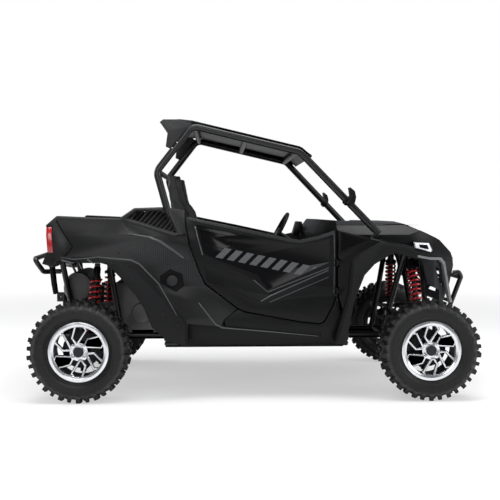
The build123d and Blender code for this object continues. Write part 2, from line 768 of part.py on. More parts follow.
floor_z = rail_z + frame_tube_radius + running_gap
floor_wall = 16.0
tub_outline = [
    (-563, floor_z), (590, floor_z), (700, 540), (690, 950), (566, 1082), (552.3, 1092), (552.3, 1070),
    (675, 945), (683, 545),
    (582, floor_z + floor_wall), (-547, floor_z + floor_wall), (-547, 1180), (-563, 1180),
]
pedestal_z = 700.0
with BuildPart() as cabin_tub:
    add(side_prism(tub_outline, -550, 550))
    add(plan_prism([(598, 507), (598, 600), (800, 600), (800, 507)], 300, 1200), mode=Mode.SUBTRACT)
    add(plan_prism([(598, -507), (598, -600), (800, -600), (800, -507)], 300, 1200), mode=Mode.SUBTRACT)
    for low, high in ((512, 600), (-600, -512)):
        add(side_prism([(-600, 300), (-547, 300), (-547, 1200), (-600, 1200)], low, high), mode=Mode.SUBTRACT)
    for sign in (1, -1):
        with Locations((-170, sign * 330, (floor_z + floor_wall + pedestal_z) / 2)):
            Box(500, 400, pedestal_z - floor_z - floor_wall)
    with Locations((20, 0, 470)):
        Box(1130, 200, 180)
cabin_tub.part.label = "cabin_tub"
export_step(cabin_tub.part, "parts/cabin_tub.step")

# Dashboard with the steering column; the instrument pod

wheel_centre = Vector(215, 360, 1067)
wheel_tilt = 28.0
column_axis = Vector(cos(radians(wheel_tilt)), 0, -sin(radians(wheel_tilt)))
column_top = wheel_centre + column_axis * 60
column_foot = wheel_centre + column_axis * 245
dash_outline = [
    (395, 1090), (410, 1110), (462, 1181), (552, 1177), (552, 1068), (530, 1050), (530, 900), (470, 860),
    (420, 900),
]
with BuildPart() as dashboard:
    add(side_prism(dash_outline, -550, 550))
    add(tube_run(tuple(column_top), tuple(column_foot), 22))
dashboard.part.label = "dashboard"
export_step(dashboard.part, "parts/dashboard.step")

pod_outline = [(330, 1058), (361, 1162), (400, 1160), (410, 1110), (395, 1090), (372, 1050)]
with BuildPart() as instrument_pod:
    add(side_prism(pod_outline, 270, 450))
instrument_pod.part.label = "instrument_pod"
export_step(instrument_pod.part, "parts/instrument_pod.step")


# Steering wheel, built flat and tilted onto the column

wheel_plane = Plane(origin=wheel_centre, x_dir=(0, 1, 0), z_dir=column_axis)
with BuildPart(mode=Mode.PRIVATE) as wheel_flat:
    with BuildSketch(Plane.XZ):
        with Locations((170, 0)):
            Circle(14)
    revolve(axis=Axis.Z)
    with BuildSketch(Plane.XY.offset(-9)):
        Circle(48)
        for angle in (0, 180, 270):
            with Locations(Location((0, 0, 0), angle)):
                with Locations((90, 0)):
                    Rectangle(160, 34)
    extrude(amount=18)
    with BuildSketch(Plane.XY.offset(9)):
        Circle(24)
    extrude(amount=60 - 9 - running_gap)
with BuildPart() as steering_wheel:
    add(wheel_plane.location * wheel_flat.part)
steering_wheel.part.label = "steering_wheel"
export_step(steering_wheel.part, "parts/steering_wheel.step")


# Seats: plain closed solids that the padded covers replace

seat_outline = [
    (-561, 1509), (-520, 1495), (-520, 1454), (-493, 1316), (-438, 1233), (-370, 1000), (-310, 860),
    (-100, 835), (60, 862), (120, 850), (120, 760), (60, 700.3), (-420, 700.3), (-455, 800), (-525, 1100),
    (-575, 1426),
]
for side, sign in (("left", 1), ("right", -1)):
    with BuildPart() as seat:
        add(side_prism(seat_outline, 120, 556))
        if sign < 0:
            mirror(about=Plane.XZ, mode=Mode.REPLACE)
    seat.part.label = f"seat_{side}"
    export_step(seat.part, f"parts/seat_{side}.step")


# Engine with gearbox, muffler

engine_x = rear_axle_x + 355
with BuildPart() as engine:
    with Locations((engine_x, 0, 560)):
        Box(380, 370, 340)
    with Locations((rear_axle_x + 105, 0, 465)):
        Box(300, 230, 190)
    with Locations(Plane(origin=(engine_x, 0, 512), z_dir=(0, 1, 0))):
        Cylinder(72, 430)
    for x in (engine_x + 90, engine_x - 90):
        for y in (-150, 150):
            add(upright(x, y, rail_z + frame_tube_radius + running_gap, 400, 18))
engine.part.label = "engine"
export_step(engine.part, "parts/engine.step")

muffler_length = 490.0
muffler_x = rear_axle_x - 92
muffler_height = 186.0
muffler_stretch = 24.0
with BuildPart() as muffler:
    with BuildSketch(side_plane(-muffler_length / 2)):
        with Locations(Location((muffler_x, 707), 68)):
            SlotCenterToCenter(muffler_stretch, muffler_height)
    extrude(amount=-muffler_length)
    chamfer(muffler.edges().filter_by(lambda edge: abs(abs(edge.center().Y) - muffler_length / 2) < 1), 7)
    for y in (-muffler_length / 2, muffler_length / 2):
        # A raised rim round each end plate
        with BuildSketch(side_plane(y - 5)):
            with Locations(Location((muffler_x, 707), 68)):
                SlotCenterToCenter(muffler_stretch, muffler_height - 46)
                SlotCenterToCenter(muffler_stretch, muffler_height - 60, mode=Mode.SUBTRACT)
        extrude(amount=-10)
    for y in (-150, 150):
        # Each hanger points at the tail's cross tube and ends just off it
        tube_axis = (tail_tube_x, y, bed_tube_z)
        hanger = Vector(42, 0, -86).normalized()
        hanger_top = Vector(*tube_axis) + hanger * (cross_tube_radius + 2 * running_gap)
        hanger_foot = Vector(*tube_axis) + hanger * 120
        add(tube_run(tuple(hanger_top), tuple(hanger_foot), 9))
muffler.part.label = "muffler"
export_step(muffler.part, "parts/muffler.step")


# Cargo bed, tail panel, taillights, fuel cap

bed_floor_z = 985.0
with BuildPart() as cargo_bed:
    with Locations((-975, 0, (bed_floor_z + 1195) / 2)):
        Box(724, 2 * (body_inner_y - running_gap), 1195 - bed_floor_z)
    with Locations((-975, 0, (bed_floor_z + 12 + 1295) / 2)):
        Box(700, 2 * (body_inner_y - running_gap - 12), 1295 - bed_floor_z - 12, mode=Mode.SUBTRACT)
cargo_bed.part.label = "cargo_bed"
export_step(cargo_bed.part, "parts/cargo_bed.step")

tail_outline = [
    (-1364, 1148), (-1353, 983), (-1387, 897), (-1368, 864), (-1350, 864), (-1362, 897), (-1337.5, 985),
    (-1337.5, 1148),
]
tail_leg = [(-1368, 864), (-1356, 751), (-1344, 685), (-1325, 685), (-1335, 760), (-1345, 864)]
with BuildPart() as tail_panel:
    add(side_prism(tail_outline, -559.7, 559.7))
    for low, high in ((470, 559.7), (-559.7, -470)):
        add(side_prism(tail_leg, low, high))
tail_panel.part.label = "tail_panel"
export_step(tail_panel.part, "parts/tail_panel.step")

with BuildPart() as taillights:
    add(side_prism(taillight_outline, 580, 800))
    add(skin_prism(0), mode=Mode.INTERSECT)
    mirror(about=Plane.XZ)
taillights.part.label = "taillights"
export_step(taillights.part, "parts/taillights.step")

with BuildPart() as fuel_cap:
    with BuildSketch(side_plane(-688.6)):
        with Locations((-545, 785)):
            Circle(36)
    extrude(amount=11)
fuel_cap.part.label = "fuel_cap"
export_step(fuel_cap.part, "parts/fuel_cap.step")


# Bumpers

bumper_radius = 17.0
hoop_foot_z = rail_z + frame_tube_radius + 2 * running_gap
hoop_foot_x = frame_nose_x - 20
front_hoop = [
    (hoop_foot_x, 150, hoop_foot_z), (hoop_foot_x, 150, 430), (frame_nose_x + 75, 205, 560),
    (frame_nose_x + 140, 250, 770), (frame_nose_x + 124, 250, 806), (frame_nose_x + 84, 250, 800),
]
with BuildPart() as front_bumper:
    add(bent_tube(front_hoop, bumper_radius, [30, 30, 19, 19]))
    mirror(about=Plane.XZ)
    add(tube_run((frame_nose_x + 138, -250, 768), (frame_nose_x + 138, 250, 768), bumper_radius))
    add(tube_run((frame_nose_x + 83, -212, 590), (frame_nose_x + 83, 212, 590), 13))
front_bumper.part.label = "front_bumper"
export_step(front_bumper.part, "parts/front_bumper.step")

rear_hoop_z = 822.0
hoop_seat = at_height(tail_stay_foot, tail_stay_head, rear_hoop_z)
hoop_start_x = hoop_seat[0] - frame_tube_radius - 3.2
rear_hoop = [
    (hoop_start_x, hoop_seat[1], rear_hoop_z), (hoop_start_x - 44, hoop_seat[1], rear_hoop_z),
    (tail_tube_x - 128, 400, rear_hoop_z + 3), (tail_tube_x - 178, 450, rear_hoop_z + 93),
    (tail_tube_x - 178, 0, rear_hoop_z + 103),
]
with BuildPart() as rear_bumper:
    add(bent_tube(rear_hoop, bumper_radius, 26))
    mirror(about=Plane.XZ)
rear_bumper.part.label = "rear_bumper"
export_step(rear_bumper.part, "parts/rear_bumper.step")


# Suspension

knuckle_reach = 105.0
lug_z = 95.0
lug_thickness = 18.0
eye_height = 34.0
front_kingpin_y = front_half_track - knuckle_reach
rear_kingpin_y = rear_half_track - knuckle_reach
boot_height = 9.0
upper_eye_z = axle_z + lug_z + lug_thickness + boot_height + running_gap + eye_height / 2
lower_eye_z = axle_z - lug_z - lug_thickness - boot_height - running_gap - eye_height / 2


def make_knuckle(axle_x, kingpin_y, steered):
    # Upright plate with a spindle for the hub, lugs for the ball joints, and a steering arm
    plate_y = kingpin_y + 46
    with BuildPart(mode=Mode.PRIVATE) as knuckle:
        with Locations((axle_x, plate_y + 10, axle_z)):
            Box(84, 20, 2 * (lug_z + lug_thickness))
        for low in (axle_z + lug_z, axle_z - lug_z - lug_thickness):
            with Locations((axle_x, (kingpin_y + plate_y) / 2, low + lug_thickness / 2)):
                Box(40, plate_y - kingpin_y + 36, lug_thickness)
        for eye_z, boot_z in ((upper_eye_z, axle_z + lug_z + lug_thickness), (lower_eye_z, axle_z - lug_z)):
            add(tube_run((axle_x, kingpin_y, boot_z), (axle_x, kingpin_y, eye_z), 9))
        boot_reach = lug_z + lug_thickness + boot_height
        add(tube_run((axle_x, kingpin_y, axle_z + lug_z), (axle_x, kingpin_y, axle_z + boot_reach), 15))
        add(tube_run((axle_x, kingpin_y, axle_z - lug_z), (axle_x, kingpin_y, axle_z - boot_reach), 15))
        spindle_end = kingpin_y + knuckle_reach + 36
        add(tube_run((axle_x, plate_y + 10, axle_z), (axle_x, spindle_end, axle_z), spindle_radius))
        if steered:
            arm_z = axle_z + 42
            arm_outline = [
                (axle_x - 40, plate_y + 20), (axle_x - 40, plate_y), (axle_x - 30, plate_y),
                (axle_x - 80, kingpin_y - 14), (axle_x - steer_arm_length - 14, kingpin_y - 14),
                (axle_x - steer_arm_length - 14, kingpin_y + 14), (axle_x - 90, kingpin_y + 14),
                (axle_x - 42, plate_y + 20),
            ]
            add(plan_prism(arm_outline, arm_z, arm_z + 16))
    return knuckle.part


def arm_eye(axle_x, kingpin_y, eye_z):
    with BuildPart(mode=Mode.PRIVATE) as eye:
        with Locations((axle_x, kingpin_y, eye_z)):
            Cylinder(20, eye_height)
    return eye.part


def arm_bore(axle_x, kingpin_y, eye_z):
    with BuildPart(mode=Mode.PRIVATE) as bore:
        with Locations((axle_x, kingpin_y, eye_z)):
            Cylinder(10, eye_height + 30)
    return bore.part


def make_arm(axle_x, kingpin_y, eye_z, pivots, bar_y):
    # A suspension arm: an eye at the kingpin, legs to pivot tubes on the frame, a bar that carries the shock
    # The legs of a lower arm leave low, clear of the ball joint's boot
    leg_drop = 7 if eye_z < axle_z else 0
    eye_point = (axle_x, kingpin_y, eye_z - leg_drop)
    with BuildPart(mode=Mode.PRIVATE) as arm:
        add(arm_eye(axle_x, kingpin_y, eye_z))
        bar_ends = []
        for pivot in pivots:
            add(tube_run(eye_point, pivot, arm_tube_radius))
            add(tube_run((pivot[0] - 25, pivot[1], pivot[2]), (pivot[0] + 25, pivot[1], pivot[2]), 18))
            share = (kingpin_y - bar_y) / (kingpin_y - pivot[1])
            bar_ends.append(tuple(a + (b - a) * share for a, b in zip(eye_point, pivot)))
        if len(bar_ends) == 2:
            add(tube_run(bar_ends[0], bar_ends[1], 12))
        add(arm_bore(axle_x, kingpin_y, eye_z), mode=Mode.SUBTRACT)
    return arm.part


front_upper_pivots = [(front_axle_x - 178, 284.6, 520), (front_axle_x + 92, 284.6, 520)]
front_lower_pivots = [(front_axle_x - 165, 188.3, rail_z), (front_axle_x + 165, 188.3, rail_z)]
rear_upper_pivots = [(rear_axle_x - 121.5, 288.5, 520)]
rear_lower_pivots = [(rear_axle_x - 165, 188.3, rail_z), (rear_axle_x + 165, 188.3, rail_z)]
front_bar_y = 490.0
rear_bar_y = 450.0

with BuildPart() as front_arms:
    add(make_arm(front_axle_x, front_kingpin_y, upper_eye_z, front_upper_pivots, front_bar_y))
    add(make_arm(front_axle_x, front_kingpin_y, lower_eye_z, front_lower_pivots, front_bar_y))
    mirror(about=Plane.XZ)
front_arms.part.label = "front_arms"
export_step(front_arms.part, "parts/front_arms.step")

with BuildPart() as rear_arms:
    add(make_arm(rear_axle_x, rear_kingpin_y, upper_eye_z, rear_upper_pivots, rear_bar_y))
    add(make_arm(rear_axle_x, rear_kingpin_y, lower_eye_z, rear_lower_pivots, rear_bar_y))
    mirror(about=Plane.XZ)
rear_arms.part.label = "rear_arms"
export_step(rear_arms.part, "parts/rear_arms.step")

with BuildPart() as knuckle_left:
    add(make_knuckle(front_axle_x, front_kingpin_y, True))
knuckle_left.part.label = "knuckle_left"
export_step(knuckle_left.part, "parts/knuckle_left.step")

with BuildPart() as knuckle_right:
    mirror(knuckle_left.part, about=Plane.XZ)
knuckle_right.part.label = "knuckle_right"
export_step(knuckle_right.part, "parts/knuckle_right.step")

with BuildPart() as rear_knuckles:
    add(make_knuckle(rear_axle_x, rear_kingpin_y, False))
    mirror(about=Plane.XZ)
rear_knuckles.part.label = "rear_knuckles"
export_step(rear_knuckles.part, "parts/rear_knuckles.step")


def make_shock(top, bottom, spring_low, spring_high):
    # Rod, spring and body turned about the shock's line; an eye lies across each end
    top, bottom = Vector(*top), Vector(*bottom)
    along = (top - bottom).normalized()
    length = (top - bottom).length
    across = Vector(1, 0, 0).cross(along).normalized()
    profile = [(0, 10), (9, 10), (9, spring_low - 8), (shock_radius + 3, spring_low - 8)]
    turns = 7
    for k in range(turns):
        low = spring_low + (spring_high - spring_low) * k / turns
        high = spring_low + (spring_high - spring_low) * (k + 0.5) / turns
        profile += [(shock_radius, low), (shock_radius - 14, high)]
    profile += [(shock_radius, spring_high), (shock_radius + 3, spring_high + 8), (26, spring_high + 8)]
    profile += [(26, length - 12), (0, length - 12)]
    with BuildPart(mode=Mode.PRIVATE) as shock:
        with BuildSketch(Plane(origin=bottom, x_dir=across, z_dir=across.cross(along))):
            with BuildLine():
                Polyline(*profile, close=True)
            make_face()
        revolve(axis=Axis(tuple(bottom), tuple(along)))
        for end in (top, bottom):
            add(tube_run((end.X - 18, end.Y, end.Z), (end.X + 18, end.Y, end.Z), 16))
    return shock.part


front_bar_z = upper_eye_z + (520 - upper_eye_z) * (front_kingpin_y - front_bar_y) / (front_kingpin_y - 284)
rear_bar_z = lower_eye_z + (rail_z - lower_eye_z) * (rear_kingpin_y - rear_bar_y) / (rear_kingpin_y - 188.3)
eye_drop = 16 + running_gap

with BuildPart() as front_shocks:
    front_shock_top = (front_axle_x - 38, 345, shock_tube_z - frame_tube_radius - eye_drop)
    front_shock_foot = (front_axle_x - 13, front_bar_y, front_bar_z + 12 + eye_drop)
    add(make_shock(front_shock_top, front_shock_foot, 90, 360))
    mirror(about=Plane.XZ)
front_shocks.part.label = "front_shocks"
export_step(front_shocks.part, "parts/front_shocks.step")

with BuildPart() as rear_shocks:
    rear_shock_top = (rear_axle_x + 65, 345, bed_tube_z - frame_tube_radius - eye_drop)
    rear_shock_foot = (rear_axle_x + 25, rear_bar_y, rear_bar_z + 12 + eye_drop)
    add(make_shock(rear_shock_top, rear_shock_foot, 142, 430))
    mirror(about=Plane.XZ)
rear_shocks.part.label = "rear_shocks"
export_step(rear_shocks.part, "parts/rear_shocks.step")

with BuildPart() as half_shafts:
    for axle_x, kingpin_y in ((front_axle_x, front_kingpin_y), (rear_axle_x, rear_kingpin_y)):
        add(tube_run((axle_x, 120, 430), (axle_x, kingpin_y, axle_z), 13))
        with Locations((axle_x, kingpin_y, axle_z)):
            Sphere(38)
        add(tube_run((axle_x, 123.2, 429.3), (axle_x, 182, 417), 36))
    mirror(about=Plane.XZ)
half_shafts.part.label = "half_shafts"
export_step(half_shafts.part, "parts/half_shafts.step")

with BuildPart() as front_gearcase:
    case_front_x = front_axle_x + 115 - cross_tube_radius - running_gap
    case_back_x = front_axle_x - 70
    with Locations(((case_back_x + case_front_x) / 2, 0, 415)):
        Box(case_front_x - case_back_x, 230, 140)
front_gearcase.part.label = "front_gearcase"
export_step(front_gearcase.part, "parts/front_gearcase.step")


# Steering rack housing, rack with tie rods

rack_x = front_axle_x - steer_arm_length
rack_z = axle_z + 42 + 16 + running_gap + 11
with BuildPart() as rack_housing:
    add(tube_run((rack_x, -168, rack_z), (rack_x, 168, rack_z), 26))
    for y in (-150, 150):
        with Locations((rack_x, y, (rail_z + frame_tube_radius + rack_z) / 2)):
            Box(24, 30, rack_z - rail_z - frame_tube_radius)
    add(tube_run((rack_x, -200, rack_z), (rack_x, 200, rack_z), 10.5), mode=Mode.SUBTRACT)
rack_housing.part.label = "rack_housing"
export_step(rack_housing.part, "parts/rack_housing.step")

with BuildPart() as tie_rods:
    add(tube_run((rack_x, -front_kingpin_y, rack_z), (rack_x, front_kingpin_y, rack_z), 9))
    for y in (-front_kingpin_y, front_kingpin_y):
        with Locations((rack_x, y, rack_z)):
            Cylinder(14, 22)
tie_rods.part.label = "tie_rods"
export_step(tie_rods.part, "parts/tie_rods.step")
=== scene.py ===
# Side by side utv: finishes, wheels, springs, seats, lamps and trim around the fixed frame
import math
import bpy
from mathutils import Matrix, Vector


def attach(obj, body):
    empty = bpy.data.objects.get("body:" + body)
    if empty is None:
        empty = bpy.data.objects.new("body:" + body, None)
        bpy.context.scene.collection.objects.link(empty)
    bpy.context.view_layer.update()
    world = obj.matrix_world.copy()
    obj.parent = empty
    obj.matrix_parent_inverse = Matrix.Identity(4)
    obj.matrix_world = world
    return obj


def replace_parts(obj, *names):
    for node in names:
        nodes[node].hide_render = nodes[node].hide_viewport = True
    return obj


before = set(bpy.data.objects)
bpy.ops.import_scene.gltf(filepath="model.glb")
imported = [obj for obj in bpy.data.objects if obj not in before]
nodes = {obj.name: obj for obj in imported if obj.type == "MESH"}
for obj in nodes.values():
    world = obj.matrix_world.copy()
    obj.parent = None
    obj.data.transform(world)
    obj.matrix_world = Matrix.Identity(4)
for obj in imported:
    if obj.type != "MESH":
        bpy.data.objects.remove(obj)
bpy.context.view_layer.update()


# The wrapped socket: an expression on it adds its own Math nodes

class Wire:
    def __init__(self, paint, socket):
        self.paint = paint
        self.socket = socket

    def maths(self, operation, *others):
        return self.paint.add("ShaderNodeMath", {"operation": operation}, self, *others)

    def __add__(self, other):
        return self.maths("ADD", other)

    def __sub__(self, other):
        return self.maths("SUBTRACT", other)

    def __rsub__(self, other):
        return self.paint.add("ShaderNodeMath", {"operation": "SUBTRACT"}, other, self)

    def __mul__(self, other):
        return self.maths("MULTIPLY", other)

    def __truediv__(self, other):
        return self.maths("DIVIDE", other)

    def __pow__(self, other):
        return self.maths("POWER", other)

    def __lt__(self, other):
        return self.maths("LESS_THAN", other)

    __radd__ = __add__
    __rmul__ = __mul__

    def fraction(self):
        return self.maths("FRACT")

    def size(self):
        return self.maths("ABSOLUTE")

    def clamped(self):
        return self.paint.add("ShaderNodeClamp", {}, self, 0.0, 1.0)


class Paint:
    # One material and the nodes that make it
    def __init__(self, name):
        self.material = bpy.data.materials.new(name)
        self.material.use_nodes = True
        self.tree = self.material.node_tree
        self.tree.nodes.clear()
        self.shader = self.tree.nodes.new("ShaderNodeBsdfPrincipled")
        self.output = self.tree.nodes.new("ShaderNodeOutputMaterial")
        self.tree.links.new(self.shader.outputs[0], self.output.inputs["Surface"])

    def put(self, target, value):
        if isinstance(value, Wire):
            self.tree.links.new(value.socket, target)
        elif hasattr(target, "default_value"):
            if hasattr(target.default_value, "__len__") and len(target.default_value) == 4 and len(value) == 3:
                value = (*value, 1.0)
            target.default_value = value

    def add(self, kind, settings, *values, out=0, **named):
        node = self.tree.nodes.new(kind)
        for key, value in settings.items():
            setattr(node, key, value)
        for socket, value in zip(node.inputs, values):
            if value is not None:
                self.put(socket, value)
        for key, value in named.items():
            self.put(node.inputs[key.replace("_", " ")], value)
        return Wire(self, node.outputs[out])

    def place(self):
        return self.add("ShaderNodeTexCoord", {}, out=3)

    def axes(self):
        parts = self.tree.nodes.new("ShaderNodeSeparateXYZ")
        self.put(parts.inputs[0], self.place())
        return [Wire(self, socket) for socket in parts.outputs]

    def noise(self, scale, detail=3.0, where=None, rough=0.5):
        return self.add("ShaderNodeTexNoise", {}, where or self.place(), None, scale, detail, rough)

    def mapped(self, scale):
        return self.add("ShaderNodeMapping", {}, self.place(), None, None, scale)

    def mixed(self, share, first, second):
        node = self.tree.nodes.new("ShaderNodeMix")
        node.data_type = "RGBA"
        self.put(node.inputs[0], share)
        self.put(node.inputs[6], first)
        self.put(node.inputs[7], second)
        return Wire(self, node.outputs[2])

    def between(self, share, low, high):
        return share * (high - low) + low

    def bump(self, height, distance, strength=1.0, normal=None):
        node = self.tree.nodes.new("ShaderNodeBump")
        self.put(node.inputs["Height"], height)
        node.inputs["Distance"].default_value = distance
        node.inputs["Strength"].default_value = strength
        if normal is not None:
            self.put(node.inputs["Normal"], normal)
        return Wire(self, node.outputs[0])

    def finish(self, **sockets):
        for key, value in sockets.items():
            self.put(self.shader.inputs[key.replace("_", " ")], value)
        return self.material


# Finishes

def mouldedPlastic(name, tone, grain=0.00035, gloss=0.42, shine=0.14):
    # Satin moulded plastic with a fine leather-like grain and faint scuffs
    paint = Paint(name)
    paint.shader.inputs["Specular IOR Level"].default_value = shine
    cloud = paint.noise(7.0, 4.0)
    grit = paint.noise(900.0, 2.0)
    pores = paint.add("ShaderNodeTexVoronoi", {"feature": "F1"}, paint.place(), None, 620.0)
    colour = paint.mixed(cloud, tuple(c * 0.82 for c in tone), tuple(c * 1.2 for c in tone))
    rough = paint.between(cloud, gloss - 0.05, gloss + 0.08) + grit * 0.05
    normal = paint.bump(pores * 0.6 + grit * 0.5, grain, 0.5)
    return paint.finish(Base_Color=colour, Roughness=rough, Normal=normal)


def ribbedPlastic(name, tone):
    # Moulded plastic with upright ribs and a coarse grain; the colour carries painted shade in the rib grooves and
    # painted highlight on the rib crests
    paint = Paint(name)
    paint.shader.inputs["Specular IOR Level"].default_value = 0.3
    x, _, z = paint.axes()
    ribs = ((x * 780.0 + z * 260.0).maths("SINE") * 0.5 + 0.5)
    grit = paint.noise(700.0, 2.0)
    # Painted shade and highlight: the colour goes dark in the rib grooves and light on the rib crests
    colour = paint.mixed(ribs, tuple(c * 0.45 for c in tone), tuple(c * 1.5 for c in tone))
    return paint.finish(Base_Color=colour, Roughness=paint.between(grit, 0.36, 0.5),
                        Normal=paint.bump(ribs + grit * 0.15, 0.0016, 0.8))


def dottedPlastic(name, tone):
    # The quarter panel: satin grain, and a patch of small square dots that fades out rearwards
    paint = Paint(name)
    paint.shader.inputs["Specular IOR Level"].default_value = 0.26
    x, _, z = paint.axes()
    pitch = 0.0125
    column = ((x / pitch).fraction() - 0.5).size() < 0.28
    row = (((z + x * 0.25) / pitch).fraction() - 0.5).size() < 0.28
    above = ((z + x * 0.48 - 0.545) * 22.0).clamped()
    below = ((z + x * 0.2 - 0.925) * -18.0).clamped()
    dots = column * row * ((x + 1.1) * 3.2).clamped() * above * below
    cloud = paint.noise(7.0, 4.0)
    grit = paint.noise(900.0, 2.0)
    base = paint.mixed(cloud, tuple(c * 0.82 for c in tone), tuple(c * 1.2 for c in tone))
    colour = paint.mixed(dots, base, tuple(c * 5.5 for c in tone))
    rough = paint.between(cloud, 0.33, 0.44) + dots * 0.12
    return paint.finish(Base_Color=colour, Roughness=rough, Normal=paint.bump(dots + grit * 0.3, 0.0008, 0.5))


def glossPanel(name, tone):
    # Piano black panel: deep gloss with a faint orange peel and dust
    paint = Paint(name)
    peel = paint.noise(160.0, 1.0)
    dust = paint.noise(30.0, 6.0)
    rough = paint.between(dust, 0.12, 0.2)
    paint.shader.inputs["Coat Roughness"].default_value = 0.08
    paint.shader.inputs["Specular IOR Level"].default_value = 0.16
    colour = paint.mixed(dust, tuple(c * 0.8 for c in tone), tuple(c * 1.3 for c in tone))
    return paint.finish(Base_Color=colour, Roughness=rough, Coat_Weight=0.05, Normal=paint.bump(peel, 0.00004, 0.15))


def powderCoat(name, tone):
    # Satin powder coat on steel tube
    paint = Paint(name)
    paint.shader.inputs["Specular IOR Level"].default_value = 0.4
    peel = paint.noise(420.0, 2.0)
    cloud = paint.noise(5.0, 3.0)
    colour = paint.mixed(cloud, tuple(c * 0.85 for c in tone), tuple(c * 1.25 for c in tone))
    return paint.finish(Base_Color=colour, Roughness=paint.between(cloud, 0.26, 0.38),
                        Normal=paint.bump(peel, 0.00025, 0.45))


def machinedAlloy(name):
    # Diamond turned alloy: fine rings left by the tool round the wheel's axle
    paint = Paint(name)
    coat = paint.noise(9.0, 3.0)
    rings = paint.noise(260.0, 2.0, where=paint.mapped((0.15, 6.0, 0.15)))
    colour = paint.mixed(coat, (0.56, 0.57, 0.59), (0.72, 0.73, 0.75))
    rough = paint.between(rings, 0.17, 0.3)
    return paint.finish(Base_Color=colour, Metallic=1.0, Roughness=rough, Coat_Weight=0.3,
                        Normal=paint.bump(rings, 0.0001, 0.3))


def castAlloy(name, tone, rough=0.5):
    # Sand cast metal with a coarse skin
    paint = Paint(name)
    skin = paint.noise(240.0, 4.0)
    stain = paint.noise(12.0, 4.0)
    colour = paint.mixed(stain, tuple(c * 0.7 for c in tone), tone)
    return paint.finish(Base_Color=colour, Metallic=0.75, Roughness=paint.between(skin, rough - 0.1, rough + 0.12),
                        Normal=paint.bump(skin, 0.0005, 0.5))


def tyreRubber(name):
    # Matte rubber: thin mould lines round the sidewall, and a paler grey ring where the shoulder blocks begin
    paint = Paint(name)
    paint.shader.inputs["Specular IOR Level"].default_value = 0.28
    bloom = paint.noise(10.0, 5.0)
    crumb = paint.noise(520.0, 3.0)
    x, _, z = paint.axes()
    along = x.size() - 1.145
    rise = z - 0.33
    radius = (along * along + rise * rise) ** 0.5
    lines = ((radius * 1250.0).maths("SINE") * 0.5 + 0.5) * (((radius - 0.246).size() * -90.0) + 1.4).clamped()
    # A paler grey ring at the shoulder radius, mottled by the noise
    paleShoulderRing = (((radius - 0.287).size() * -60.0) + 1.0).clamped() * bloom
    colour = paint.mixed(bloom, (0.003, 0.003, 0.0032), (0.01, 0.01, 0.0102))
    colour = paint.mixed(paleShoulderRing * 0.9, colour, (0.075, 0.075, 0.077))
    return paint.finish(Base_Color=colour, Roughness=paint.between(bloom, 0.46, 0.62),
                        Normal=paint.bump(lines * 0.8 + crumb * 0.25, 0.0012, 0.7))


def wovenCover(name, tone):
    # Ribbed vinyl and weave of the seat covers
    paint = Paint(name)
    x, y, z = paint.axes()
    across = ((y * 2600.0).maths("SINE") * 0.5 + 0.5)
    along = (((z + x) * 2600.0).maths("SINE") * 0.5 + 0.5)
    weave = across * along
    cloud = paint.noise(14.0, 4.0)
    colour = paint.mixed(cloud, tuple(c * 0.8 for c in tone), tuple(c * 1.3 for c in tone))
    return paint.finish(Base_Color=colour, Roughness=paint.between(cloud, 0.5, 0.7),
                        Normal=paint.bump(weave, 0.0003, 0.6))


def wetPaint(name, tone, rough=0.22):
    # Sprayed paint on a spring or a bolt
    paint = Paint(name)
    peel = paint.noise(300.0, 2.0)
    cloud = paint.noise(16.0, 3.0)
    colour = paint.mixed(cloud, tuple(c * 0.8 for c in tone), tone)
    return paint.finish(Base_Color=colour, Roughness=paint.between(cloud, rough - 0.05, rough + 0.08),
                        Coat_Weight=0.4, Normal=paint.bump(peel, 0.0002, 0.3))


def brightMetal(name, tone=(0.75, 0.76, 0.78), rough=0.12):
    paint = Paint(name)
    smear = paint.noise(40.0, 4.0)
    return paint.finish(Base_Color=paint.mixed(smear, tuple(c * 0.85 for c in tone), tone), Metallic=1.0,
                        Roughness=paint.between(smear, rough - 0.04, rough + 0.1))


def lampGlass(name, tone, glow):
    # Lens with fine vertical flutes
    paint = Paint(name)
    z = paint.axes()[2]
    flutes = ((z * 1400.0).maths("SINE") * 0.5 + 0.5)
    cloud = paint.noise(20.0, 2.0)
    colour = paint.mixed(cloud, tuple(c * 0.9 for c in tone), tone)
    paint.shader.inputs["Emission Strength"].default_value = glow
    return paint.finish(Base_Color=colour, Roughness=paint.between(cloud, 0.08, 0.16), Emission_Color=colour,
                        Coat_Weight=0.8, Normal=paint.bump(flutes, 0.0004, 0.35))


